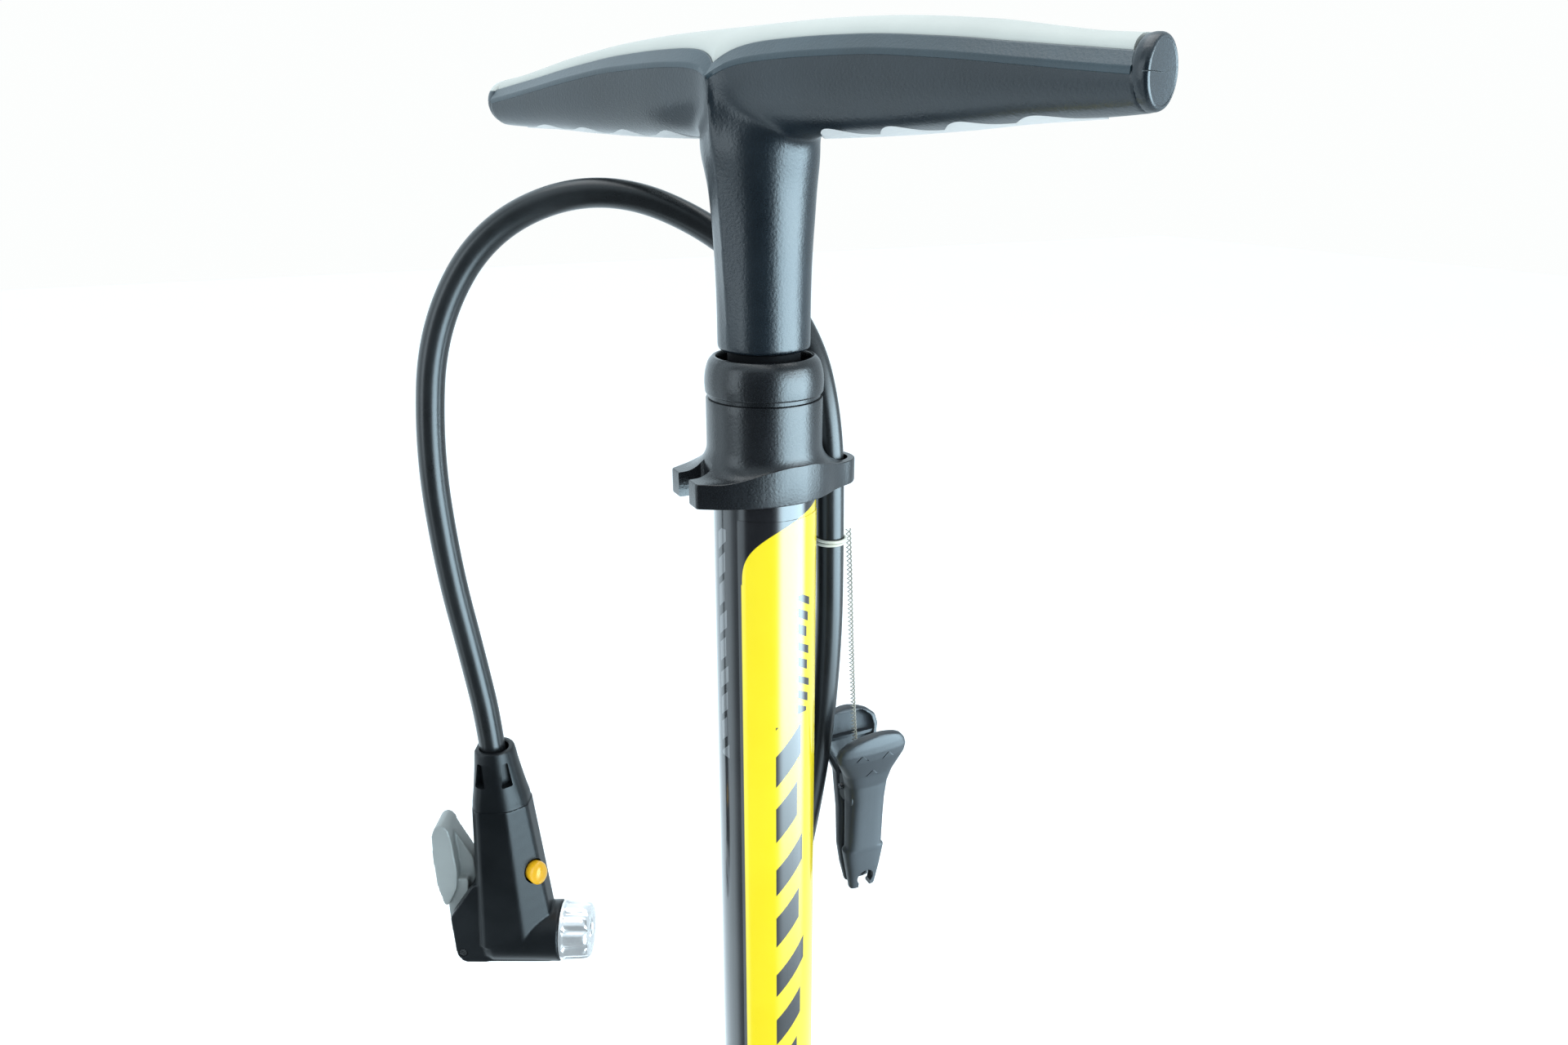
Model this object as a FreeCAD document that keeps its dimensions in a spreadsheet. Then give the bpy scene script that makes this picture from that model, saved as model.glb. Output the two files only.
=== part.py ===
"""Standing floor pump: T handle, barrel, gauge base, hose with a lever head, spring clip.

Frame: millimetres, +Z up, origin on the floor under the barrel's axis.
The base's wings lie along X, the gauge faces -Y, the collar's fork points to -X
and its hose guide to +X.
"""
import FreeCAD, Part
import Sketcher
import math
import os
from FreeCAD import Placement, Rotation, Vector

DOC = FreeCAD.newDocument("floor_pump")
NODES = []

SIZES = {
    # barrel and what stands in it
    "barrel_od": 32.0, "barrel_id": 28.0, "barrel_foot": 24.0, "barrel_end": 587.0,
    "rod_dia": 10.0, "rod_foot": 50.5, "rod_end": 656.0, "run_gap": 0.06, "fit_gap": 0.05,
    # collar, cap and bushing at the barrel's top
    "collar_foot": 558.5, "collar_end": 588.0, "collar_od": 34.2, "flange_thick": 7.5,
    "ear_x": 23.0, "hose_hole": 10.6,
    "fork_reach": 26.6, "fork_half": 9.4, "fork_slot": 8.4,
    "cap_foot": 588.3, "cap_end": 600.5, "cap_od": 34.5, "cap_recess": 28.6,
    # handle
    "stem_foot": 602.2, "stem_dia": 25.5, "arm_half": 125.0, "arm_mid": 675.5,
    "seam_level": 675.5, "handle_turn": -73.0, "sweep": 11.0,
    # base
    "plate_level": 4.0, "plate_thick": 3.0, "wing_half": 123.0, "wing_depth": 58.0,
    "tongue_front": 118.0, "tongue_half": 31.0, "housing_dia": 58.0, "housing_end": 74.0,
    # gauge
    "gauge_dia": 66.0, "gauge_deep": 22.0, "gauge_y": -56.0, "gauge_z": 33.0, "gauge_tilt": 40.0,
    # hose and head
    "hose_dia": 9.0, "port_y": 36.0, "port_level": 52.0,
    "head_x": -76.64, "head_y": 61.86, "head_z": 375.8, "head_turn": -26.0,
    "nut_dia": 22.0, "valve_hole": 8.0,
    # spring clip
    "clip_x": 36.2, "clip_y": 1.0, "clip_z": 444.0,
}


class Dim:
    """A length with its value and the sheet expression it comes from."""

    def __init__(self, value, text):
        self.value, self.text = value, text

    @staticmethod
    def of(other):
        return other if isinstance(other, Dim) else Dim(float(other), repr(float(other)))

    def _join(self, other, sign, swap=False):
        a, b = (Dim.of(other), self) if swap else (self, Dim.of(other))
        value = {"+": a.value + b.value, "-": a.value - b.value, "*": a.value * b.value}.get(sign)
        if sign == "/":
            value = a.value / b.value
        return Dim(value, f"({a.text} {sign} {b.text})")

    def __add__(self, other):
        return self._join(other, "+")

    def __radd__(self, other):
        return self._join(other, "+", True)

    def __sub__(self, other):
        return self._join(other, "-")

    def __rsub__(self, other):
        return self._join(other, "-", True)

    def __mul__(self, other):
        return self._join(other, "*")

    def __rmul__(self, other):
        return self._join(other, "*", True)

    def __truediv__(self, other):
        return self._join(other, "/")

    def __neg__(self):
        return self._join(0, "-", True)


class Sheet:
    """The spreadsheet of driving dimensions; each attribute is a Dim."""

    def __init__(self, sizes):
        self.sheet = DOC.addObject("Spreadsheet::Sheet", "sizes")
        for row, (alias, value) in enumerate(sizes.items(), 1):
            self.sheet.set(f"A{row}", alias)
            self.sheet.set(f"B{row}", str(value))
            self.sheet.setAlias(f"B{row}", alias)
            setattr(self, alias, Dim(value, f"sizes.{alias}"))
        DOC.recompute()


S = Sheet(SIZES)


def node(obj, label, at=(0, 0, 0), turn=None):
    """Name an object as a sub-part and place it; its position follows the sheet."""
    obj.Label = label
    spot = [Dim.of(v) for v in at]
    obj.Placement = Placement(Vector(*[d.value for d in spot]), turn or Rotation())
    for axis, d in zip("xyz", spot):
        if "sizes" in d.text:
            obj.setExpression(f"Placement.Base.{axis}", d.text)
    NODES.append(obj)
    return obj


def shape_node(shape, label, at=(0, 0, 0), turn=None):
    """A sub-part whose shape Part's own functions make."""
    obj = DOC.addObject("Part::Feature", label)
    obj.Shape = shape
    return node(obj, label, at, turn)


# ---------------------------------------------------------------- sketches and features
def new_sketch(body, role, level=0):
    count = len(body.Group)
    sketch = body.newObject("Sketcher::SketchObject", f"{body.Name}_sketch{count}")
    plane = [f for f in body.Origin.OriginFeatures if f.Role == role][0]
    sketch.AttachmentSupport = (plane, [""])
    sketch.MapMode = "FlatFace"
    lift = Dim.of(level)
    sketch.AttachmentOffset = Placement(Vector(0, 0, lift.value), Rotation())
    if "sizes" in lift.text:
        sketch.setExpression("AttachmentOffset.Base.z", lift.text)
    return sketch


def bind(sketch, kind, first, second, value):
    """A dimension held at a value, by the sheet where it comes from the sheet."""
    number = sketch.addConstraint(Sketcher.Constraint(kind, *first, *second, value.value))
    if "sizes" in value.text:
        sketch.setExpression(f"Constraints[{number}]", value.text)


def fix_point(sketch, geo, pos, corner):
    """Hold one point of the sketch at its two coordinates."""
    for kind, axis, value in zip(("DistanceX", "DistanceY"), (-2, -1), corner):
        value = Dim.of(value)
        if abs(value.value) < 1e-9:
            sketch.addConstraint(Sketcher.Constraint("PointOnObject", geo, pos, axis))
        elif value.value > 0:
            bind(sketch, kind, (-1, 1), (geo, pos), value)
        else:
            bind(sketch, kind, (geo, pos), (-1, 1), -value)


def polygon(sketch, corners):
    """A closed polygon, every corner held by its own two dimensions."""
    spots = [Vector(Dim.of(a).value, Dim.of(b).value, 0) for a, b in corners]
    first = sketch.GeometryCount
    last = len(spots) - 1
    for i, spot in enumerate(spots):
        sketch.addGeometry(Part.LineSegment(spot, spots[(i + 1) % len(spots)]), False)
    for i, corner in enumerate(corners):
        following = first + (i + 1 if i < last else 0)
        sketch.addConstraint(Sketcher.Constraint("Coincident", first + i, 2, following, 1))
        fix_point(sketch, first + i, 1, corner)


def circle(sketch, radius, centre=(0, 0)):
    spot = Vector(Dim.of(centre[0]).value, Dim.of(centre[1]).value, 0)
    size = Dim.of(radius)
    geo = sketch.addGeometry(Part.Circle(spot, Vector(0, 0, 1), size.value), False)
    number = sketch.addConstraint(Sketcher.Constraint("Radius", geo, size.value))
    if "sizes" in size.text:
        sketch.setExpression(f"Constraints[{number}]", size.text)
    if any(abs(Dim.of(c).value) > 1e-9 for c in centre):
        fix_point(sketch, geo, 3, centre)
    else:
        sketch.addConstraint(Sketcher.Constraint("Coincident", geo, 3, -1, 1))


def extrude(body, kind, sketch, length, reverse=False, both=False):
    feature = body.newObject(f"PartDesign::{kind}", f"{body.Name}_{kind}{len(body.Group)}")
    feature.Profile = sketch
    size = Dim.of(length)
    feature.Length = size.value
    if "sizes" in size.text:
        feature.setExpression("Length", size.text)
    feature.Reversed = reverse
    feature.Midplane = both
    return feature


def new_body(label):
    return DOC.addObject("PartDesign::Body", label)


def turned(label, profile, at=(0, 0, 0), turn=None):
    """A turned piece: a profile of (radius, height) corners revolved about its own Z."""
    body = new_body(label)
    sketch = new_sketch(body, "XZ_Plane")
    polygon(sketch, profile)
    lathe = body.newObject("PartDesign::Revolution", f"{label}_turn")
    lathe.Profile = sketch
    lathe.ReferenceAxis = (sketch, ["V_Axis"])
    lathe.Angle = 360.0
    return node(body, label, at, turn)


def ring(label, inner, outer, foot, end, at=(0, 0, 0), turn=None):
    return turned(label, [(inner, foot), (outer, foot), (outer, end), (inner, end)], at, turn)


def disc(label, radius, foot, end, at=(0, 0, 0), turn=None):
    return turned(label, [(0, foot), (radius, foot), (radius, end), (0, end)], at, turn)


def cutout(body, role, level, depth, corners=None, radius=None, centre=(0, 0), both=False):
    """A pocket from a level of the body, checked to remove material."""
    sketch = new_sketch(body, role, level)
    if corners:
        polygon(sketch, corners)
    else:
        circle(sketch, radius, centre)
    DOC.recompute()
    before = body.Shape.Volume
    pocket = extrude(body, "Pocket", sketch, depth, reverse=True, both=both)
    DOC.recompute()
    if body.Shape.Volume >= before - 1e-3:
        raise RuntimeError(f"{body.Label}: a pocket cuts nothing")
    return pocket


def swept(points, radius):
    """A round tube along straight runs joined by tangent arcs, and the arcs' radii."""
    spots = [Vector(*p) for p in points]
    edges, radii, begin = [], [], spots[0]
    for i in range(1, len(spots) - 1):
        back, ahead = spots[i - 1] - spots[i], spots[i + 1] - spots[i]
        run = min(back.Length, ahead.Length)
        half = (math.pi - back.getAngle(ahead)) / 2
        cut = 0.45 * run
        radii.append(cut / math.tan(half))
        back.normalize()
        ahead.normalize()
        enter, leave = spots[i] + back * cut, spots[i] + ahead * cut
        middle = back + ahead
        middle.normalize()
        reach = radii[-1] / math.cos(half) - radii[-1]
        edges.append(Part.LineSegment(begin, enter).toShape())
        edges.append(Part.Arc(enter, spots[i] + middle * reach, leave).toShape())
        begin = leave
    edges.append(Part.LineSegment(begin, spots[-1]).toShape())
    path = Part.Wire(edges)
    section = Part.Wire(Part.Circle(spots[0], spots[1] - spots[0], radius).toShape())
    tube = path.makePipeShell([section], True, True)
    expected = math.pi * radius ** 2 * path.Length
    if abs(tube.Volume / expected - 1) > 0.01:
        raise RuntimeError("a tube's volume is not its section times its length")
    return tube, radii, path.Length


# ---------------------------------------------------------------- barrel, cap and collar
def barrel_group():
    outer, inner = S.barrel_od / 2, S.barrel_id / 2
    ring("barrel", inner, outer, S.barrel_foot, S.barrel_end)

    skin = new_body("barrel_label")
    sketch = new_sketch(skin, "XZ_Plane")
    polygon(sketch, [(outer + 0.02, 84), (outer + 0.17, 84),
                     (outer + 0.17, 553), (outer + 0.02, 553)])
    lathe = skin.newObject("PartDesign::Revolution", "label_turn")
    lathe.Profile = sketch
    lathe.ReferenceAxis = (sketch, ["V_Axis"])
    lathe.Angle = 112.0
    node(skin, "barrel_label", turn=Rotation(Vector(0, 0, 1), -146))

    rod = S.rod_dia / 2
    recess = S.cap_recess / 2
    edge = S.cap_od / 2
    floor = S.cap_end - 6
    turned("barrel_cap", [
        (edge - 1.5, S.cap_foot), (edge - 0.3, S.cap_foot), (edge, S.cap_foot + 0.4),
        (edge, S.cap_end - 4.2), (edge - 0.35, S.cap_end - 2.6), (edge - 1.2, S.cap_end - 1.1),
        (recess + 1.0, S.cap_end - 0.1), (recess + 0.3, S.cap_end), (recess, S.cap_end - 0.3),
        (recess, floor), (rod + 1.1, floor), (rod + 1.1, floor - 2.8), (edge - 1.5, floor - 2.8)])
    turned("rod_bushing", [
        (rod + S.run_gap, 566), (inner - 0.1, 566), (inner - 0.1, S.barrel_end + 0.2),
        (edge - 1.8, S.barrel_end + 0.2), (edge - 1.8, floor - 3.0), (rod + S.run_gap, floor - 3.0)])
    ring("rod_wiper", rod + S.run_gap, rod + 1.0, floor - 2.9, floor - 0.2)

    collar = new_body("hose_collar")
    body_r = S.collar_od / 2
    sleeve = new_sketch(collar, "XY_Plane", S.collar_foot)
    circle(sleeve, body_r)
    extrude(collar, "Pad", sleeve, S.collar_end - S.collar_foot)
    side = [(-S.fork_reach, S.fork_half), (-20, S.fork_half + 3.4), (-11, 15.9),
            (-3.5, 17.3), (4.0, 17.2), (12.5, 13.8), (19.0, 9.6), (23.0, 7.9),
            (27.4, 6.2), (30.0, 3.2), (30.6, 0)]
    outline = side + [(x, -Dim.of(y)) for x, y in reversed(side[:-1])]
    flange = new_sketch(collar, "XY_Plane", S.collar_foot)
    polygon(flange, outline)
    extrude(collar, "Pad", flange, S.flange_thick)
    low = S.collar_foot - 1
    cutout(collar, "XY_Plane", low, 40, radius=outer + 0.05)
    cutout(collar, "XY_Plane", low, 12, radius=S.hose_hole / 2, centre=(S.ear_x, 0))
    slot = S.fork_slot / 2
    cutout(collar, "XY_Plane", low, 12, corners=[
        (-S.fork_reach - 1, -slot), (-19, -slot), (-19, slot), (-S.fork_reach - 1, slot)])
    node(collar, "hose_collar")


# ---------------------------------------------------------------- rod and piston
def rod_group():
    rod = S.rod_dia / 2
    turned("rod", [(0, 66), (2.55, 66), (2.55, S.rod_foot), (rod, S.rod_foot),
                   (rod, S.rod_end), (3.05, S.rod_end), (3.05, S.rod_end - 22),
                   (0, S.rod_end - 22)])
    ring("rod_bumper", rod + S.fit_gap, 11.0, S.cap_end - 5.7, S.stem_foot - 0.1)
    ring("rod_clip", rod + S.fit_gap, 8.0, 64.3, 65.8)
    ring("piston_washer", 2.6, 9.0, 43.6, 45.7)
    turned("piston_screw", [(0, 39.5), (4.5, 39.5), (4.5, 43.5), (2.5, 43.5), (2.5, 64), (0, 64)])
    land = S.barrel_id / 2 - 0.3
    bore = rod + S.run_gap
    turned("piston", [(bore, 46), (land, 46), (land, 51), (11.4, 51), (11.4, 57),
                      (land, 57), (land, 64), (bore, 64)])
    seal = S.barrel_id / 2 - S.run_gap
    turned("piston_seal", [(11.5, 51.1), (seal - 0.8, 51.1), (seal, 52.2), (seal, 55.8),
                           (seal - 0.8, 56.9), (11.5, 56.9)])


# ---------------------------------------------------------------- handle
def oval(along, front, back, low, high, shift, power=2.3):
    """One closed section of the arm, at a distance along it, in the plane across it."""
    half, mid = (high - low) / 2, (high + low) / 2
    spots = []
    for k in range(20):
        turn = 2 * math.pi * k / 20
        c, s = math.cos(turn), math.sin(turn)
        reach = front if c > 0 else back
        across = math.copysign(abs(c) ** (2 / power), c) * reach
        spots.append(Vector(along, -(shift + across),
                            mid + math.copysign(abs(s) ** (2 / power), s) * half))
    curve = Part.BSplineCurve()
    curve.interpolate(spots, PeriodicFlag=True)
    return Part.Wire(curve.toShape())


def arm_solid():
    """Both arms as one loft; the handle's front is -Y before it is turned."""
    reach = S.arm_half.value
    stations = [(1.0, 7.0, 7.0, 666.2, 680.8), (0.965, 7.6, 7.6, 665.7, 681.6),
                (0.82, 9.4, 9.2, 665.2, 683.8), (0.62, 11.6, 11.2, 664.2, 686.4),
                (0.38, 14.0, 13.0, 663.0, 688.4), (0.17, 17.0, 14.6, 661.8, 689.6)]
    rows = [(-f, *rest) for f, *rest in stations]
    rows.append((0.0, 20.0, 15.4, 661.2, 690.0))
    rows += [(f, *rest) for f, *rest in reversed(stations)]
    wires = [oval(f * reach, front, back, low, high, S.sweep.value * abs(f) ** 1.7)
             for f, front, back, low, high in rows]
    return Part.makeLoft(wires, True, False)


def stem_solid():
    foot, r = S.stem_foot.value, S.stem_dia.value / 2
    profile = [(0, foot), (r - 0.9, foot), (r, foot + 1.0), (r + 0.15, foot + 12),
               (r + 0.6, foot + 22), (r + 1.35, foot + 30), (r + 2.9, foot + 44),
               (r + 4.2, foot + 52), (r + 6.5, foot + 62), (r + 6.5, foot + 70), (0, foot + 70)]
    spots = [Vector(a, 0, b) for a, b in profile]
    face = Part.Face(Part.makePolygon(spots + spots[:1]))
    stem = face.revolve(Vector(0, 0, 0), Vector(0, 0, 1), 360)
    low = [Vector(-7, -9, foot + 4), Vector(7, -9, foot + 4), Vector(0, -13.4, foot + 4)]
    high = [Vector(-11, -9, foot + 70), Vector(11, -9, foot + 70), Vector(0, -19.6, foot + 70)]
    prow = Part.makeLoft([Part.makePolygon(w + w[:1]) for w in (low, high)], True, True)
    return stem.fuse(prow)


def handle_group():
    turn = Rotation(Vector(0, 0, 1), S.handle_turn.value)
    arms, stem = arm_solid(), stem_solid()
    seam = S.seam_level.value
    wide = 2 * S.arm_half.value + 40
    below = Part.makeBox(wide, 120, 100, Vector(-wide / 2, -60, seam - 100))
    above = Part.makeBox(wide, 120, 60, Vector(-wide / 2, -60, seam))
    bow_r = 1200.0
    crown = Part.makeCylinder(bow_r, 120, Vector(0, -60, 684.4 - bow_r), Vector(0, 1, 0))
    pad_zone = Part.makeBox(0.95 * 2 * S.arm_half.value, 120, 60,
                            Vector(-0.95 * S.arm_half.value, -60, 660)).cut(crown)
    top_pad = arms.common(pad_zone)
    upper = arms.common(above).cut(pad_zone)
    grips = []
    for side in (-1, 1):
        zone = Part.makeBox(84, 13, 7.0, Vector(28 if side > 0 else -112, -12, 659.5))
        for k in range(4):
            scoop = Part.makeCylinder(13, 60, Vector(side * (38.5 + 21 * k), -30, 651.2),
                                      Vector(0, 1, 0))
            zone = zone.cut(scoop)
        grips.append((zone, side))
    lower = arms.common(below).fuse(stem)
    bore = Part.makeCylinder(S.rod_dia.value / 2 + S.fit_gap.value, 60, Vector(0, 0, 600))
    lower = lower.cut(bore).common(Part.makeBox(wide, 120, 90, Vector(-wide / 2, -60, seam - 90)))
    screw_way = Part.makeCylinder(3.1, 60, Vector(0, 0, 640))
    screw_head = Part.makeCylinder(6.2, 8, Vector(0, 0, 678))
    names = ("grip_pad_left", "grip_pad_right")
    for (zone, side), name in zip(grips, names):
        pad = lower.common(zone)
        lower = lower.cut(zone)
        shape_node(pad, name, turn=turn)
    shape_node(lower.cut(screw_way), "handle_lower_shell", turn=turn)
    shape_node(upper.cut(screw_way).cut(screw_head), "handle_upper_shell", turn=turn)
    shape_node(top_pad.cut(screw_head), "handle_top_pad", turn=turn)
    turned("handle_screw", [(0, 637), (3.0, 637), (3.0, 678.1), (6.0, 678.1), (6.0, 683),
                            (0, 683)])


# ---------------------------------------------------------------- base
def base_group():
    low, high = S.plate_level, S.plate_level + S.plate_thick
    wing, half = S.wing_half, S.wing_depth / 2
    tongue = S.tongue_half
    plate = new_body("base_plate")
    side = [(0, -S.tongue_front), (tongue - 10, -S.tongue_front), (tongue - 2, 6 - S.tongue_front),
            (tongue, 16 - S.tongue_front), (tongue + 3, -50), (tongue + 12, -36),
            (tongue + 26, -half - 2), (wing - 12, -half), (wing - 3, 4 - half), (wing, 12 - half),
            (wing, half - 12), (wing - 3, half - 4), (wing - 12, half), (tongue + 24, half + 2),
            (tongue + 8, half + 10), (tongue - 3, half + 20), (tongue - 12, half + 25),
            (0, half + 25)]
    outline = side + [(-Dim.of(x), y) for x, y in reversed(side[1:-1])]
    sketch = new_sketch(plate, "XY_Plane", low)
    polygon(sketch, outline)
    extrude(plate, "Pad", sketch, S.plate_thick)
    for x in (-20, 20):
        for y in (-18, 18):
            cutout(plate, "XY_Plane", low - 1, 8, radius=2.2, centre=(x, y))
    node(plate, "base_plate")

    for side_name, sign in (("left", -1), ("right", 1)):
        tread = new_body(f"tread_{side_name}")
        near, far = (57, 115) if sign > 0 else (-115, -57)
        pad = new_sketch(tread, "XY_Plane", high)
        polygon(pad, [(near, -22), (far, -22), (far, 22), (near, 22)])
        extrude(tread, "Pad", pad, 1.4)
        DOC.recompute()
        for k in range(7):
            rib = new_sketch(tread, "XY_Plane", high + 1.4)
            x = near + 5 + 8 * k
            polygon(rib, [(x - 1.6, -20), (x + 1.6, -20), (x + 1.6, 20), (x - 1.6, 20)])
            extrude(tread, "Pad", rib, 1.2)
        node(tread, f"tread_{side_name}")

    feet = []
    for x, y in ((-108, -14), (-108, 14), (108, -14), (108, 14), (0, -106)):
        foot = DOC.addObject("Part::Cylinder", f"foot_{len(feet)}")
        foot.Radius = 9
        foot.setExpression("Height", S.plate_level.text)
        foot.Placement = Placement(Vector(x, y, 0), Rotation())
        feet.append(foot)
    union = DOC.addObject("Part::MultiFuse", "rubber_feet")
    union.Shapes = feet
    node(union, "rubber_feet")
    disc("centre_foot", 13, 0, S.plate_level)

    housing_shell()
    screws = []
    for x in (-20, 20):
        for y in (-18, 18):
            shank = Part.makeCylinder(2.0, 14, Vector(x, y, 3.9))
            screws.append(shank.fuse(Part.makeCylinder(3.8, 2.0, Vector(x, y, 1.9))))
    shape_node(screws[0].multiFuse(screws[1:]), "base_screws")


def gauge_place():
    """The gauge's own frame: its +Z looks out of the dial, forward and up."""
    return Rotation(Vector(1, 0, 0), S.gauge_tilt.value), (0, S.gauge_y, S.gauge_z)


def housing_shell():
    """The moulded foot that holds the barrel, the check valve, the gauge and the hose port."""
    foot = S.plate_level.value + S.plate_thick.value
    end, r = S.housing_end.value, S.housing_dia.value / 2
    profile = [(0, foot), (r + 3, foot), (r + 3, foot + 6), (r, foot + 12), (r - 4, foot + 34),
               (r - 7, end - 4), (r - 9, end), (0, end)]
    spots = [Vector(a, 0, b) for a, b in profile]
    shell = Part.Face(Part.makePolygon(spots + spots[:1])).revolve(
        Vector(0, 0, 0), Vector(0, 0, 1), 360)
    cheek = [Vector(-26, -10, foot), Vector(-22, -72, foot), Vector(22, -72, foot),
             Vector(26, -10, foot)]
    nose = Part.Face(Part.makePolygon(cheek + cheek[:1])).extrude(Vector(0, 0, 44))
    boss = Part.makeCylinder(10.5, 39, Vector(0, S.port_y.value, foot))
    web = Part.makeBox(21, 20, 39, Vector(-10.5, 16, foot))
    shell = shell.multiFuse([nose, boss, web])
    turn, spot = gauge_place()
    bed = Part.makeCylinder(S.gauge_dia.value / 2 + 0.3, 90)
    bed.Placement = Placement(Vector(0, spot[1].value, spot[2].value), turn)
    bed_floor = Vector(0, 0, -0.2)
    bed.translate(turn.multVec(bed_floor))
    barrel_r = S.barrel_od.value / 2
    cuts = [
        Part.makeCylinder(barrel_r + 0.05, 80, Vector(0, 0, S.barrel_foot.value)),
        Part.makeCylinder(barrel_r + 1.4, 3.2, Vector(0, 0, 60.0)),
        Part.makeCylinder(9.0, 20, Vector(0, 0, 12)),
        Part.makeCylinder(2.4, S.port_y.value, Vector(0, 0, 14.6), Vector(0, 1, 0)),
        Part.makeCylinder(2.4, 60, Vector(0, S.port_y.value, 14.6)),
        bed,
    ]
    for x in (-20, 20):
        for y in (-18, 18):
            cuts.append(Part.makeCylinder(2.05, 12, Vector(x, y, foot)))
    for cut in cuts:
        shell = shell.cut(cut)
    shape_node(shell, "base_housing")


def valve_group():
    ring("barrel_o_ring", S.barrel_od / 2 + 0.02, S.barrel_od / 2 + 1.3, 60.2, 63.0)
    turned("valve_seat", [(3.0, 20.0), (8.9, 20.0), (8.9, 23.9), (5.0, 23.9), (3.0, 21.9)])
    turned("valve_disc", [(0, 17.6), (1.8, 17.6), (6.2, 17.6), (6.2, 19.8), (0, 19.8)])
    coil = [Part.makeTorus(4.4, 0.45, Vector(0, 0, 12.6 + 1.45 * k)) for k in range(4)]
    shape_node(Part.makeCompound(coil), "valve_spring")


# ---------------------------------------------------------------- gauge
def gauge_group():
    turn, spot = gauge_place()
    r, deep = S.gauge_dia / 2, S.gauge_deep
    inside = r - 2.4
    turned("gauge_case", [(0, 0), (r - 1.5, 0), (r, 1.5), (r, deep), (inside, deep),
                          (inside, 3.0), (0, 3.0)], spot, turn)
    turned("gauge_bezel", [(r - 6, deep + 0.1), (r, deep + 0.1), (r, deep + 1.8),
                           (r - 1.6, deep + 3.4), (r - 5.4, deep + 3.4), (r - 6, deep + 2.8)],
           spot, turn)
    disc("gauge_lens", inside - 0.2, deep - 2.1, deep, spot, turn)
    ring("gauge_dial", 1.4, inside - 0.3, 15.0, 15.7, spot, turn)
    disc("gauge_arbor", 1.0, 3.2, 17.9, spot, turn)

    needle = new_body("gauge_needle")
    blade = new_sketch(needle, "XY_Plane", 16.4)
    polygon(blade, [(-9, -1.3), (0, -1.1), (24, -0.35), (24, 0.35), (0, 1.1), (-9, 1.3)])
    extrude(needle, "Pad", blade, 0.7)
    hub = new_sketch(needle, "XY_Plane", 16.2)
    circle(hub, 3.0)
    extrude(needle, "Pad", hub, 1.3)
    cutout(needle, "XY_Plane", 15.5, 4, radius=1.02)
    needle_turn = turn * Rotation(Vector(0, 0, 1), 225)
    node(needle, "gauge_needle", spot, needle_turn)

    ring_r = 19.0
    loop = [(0, -ring_r, 3.3), (0, -ring_r, 9)]
    for k in range(1, 7):
        bend = math.radians(-90 - 42 * k)
        loop.append((ring_r * math.cos(bend), ring_r * math.sin(bend), 9))
    tube, _, _ = swept(loop, 1.6)
    shape_node(tube, "pressure_tube", spot, turn)


# ---------------------------------------------------------------- hose, head and clip
HOSE_ROUTE = [
    (0, 36, 52), (0, 36, 100), (2, 35.5, 165), (6, 32.5, 240), (12, 26.5, 318),
    (17.5, 18, 388), (23.5, 8, 450), (24.2, 1.5, 500), (23, -0.3, 540), (23, 0.9, 577),
    (20.8, 12.5, 605), (2, 31, 633), (-31, 47.5, 648.5), (-64.5, 60.5, 637),
    (-84, 66.5, 606), (-89, 68, 566), (-87, 67, 525), (-82, 64.8, 489), (-78.8, 63, 462),
    (-78.26, 62.65, 436.3),
]


def hose_group():
    tube, radii, length = swept(HOSE_ROUTE, S.hose_dia.value / 2)
    print("hose arc radii mm:", [round(r, 1) for r in radii])
    print("hose length mm:", round(length, 1))
    shape_node(tube, "hose")
    level = S.port_level
    port = new_body("hose_port")
    hexagon = new_sketch(port, "XY_Plane", level - 5.8)
    corners = [(7.6 * math.cos(k * math.pi / 3), 7.6 * math.sin(k * math.pi / 3)) for k in range(6)]
    polygon(hexagon, [(round(a, 4), round(b, 4)) for a, b in corners])
    extrude(port, "Pad", hexagon, 5.8)
    barb = new_sketch(port, "XY_Plane", level)
    circle(barb, 2.6)
    extrude(port, "Pad", barb, 14)
    cutout(port, "XY_Plane", level - 7, 24, radius=1.4)
    node(port, "hose_port", (0, S.port_y, 0))
    grip = S.hose_dia / 2
    turned("hose_ferrule", [(grip + 0.05, level + 0.1), (grip + 1.5, level + 0.1),
                            (grip + 1.5, level + 6), (grip + 1.0, level + 7.5),
                            (grip + 1.5, level + 9), (grip + 1.5, level + 16),
                            (grip + 0.05, level + 16)], (0, S.port_y, 0))
    turned("tie_band", [(grip + 0.3, -1.8), (grip + 1.1, -1.8), (grip + 1.3, 0),
                        (grip + 1.1, 1.8), (grip + 0.3, 1.8)], (23.2, -0.1, 538.5))


def head_frame():
    return (S.head_x, S.head_y, S.head_z), Rotation(Vector(0, 0, 1), S.head_turn.value)


def outline_prism(corners, low, high):
    """An upright profile in X and Z, extruded along Y from low to high."""
    spots = [Vector(x, low, z) for x, z in corners]
    return Part.Face(Part.makePolygon(spots + spots[:1])).extrude(Vector(0, high - low, 0))


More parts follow.
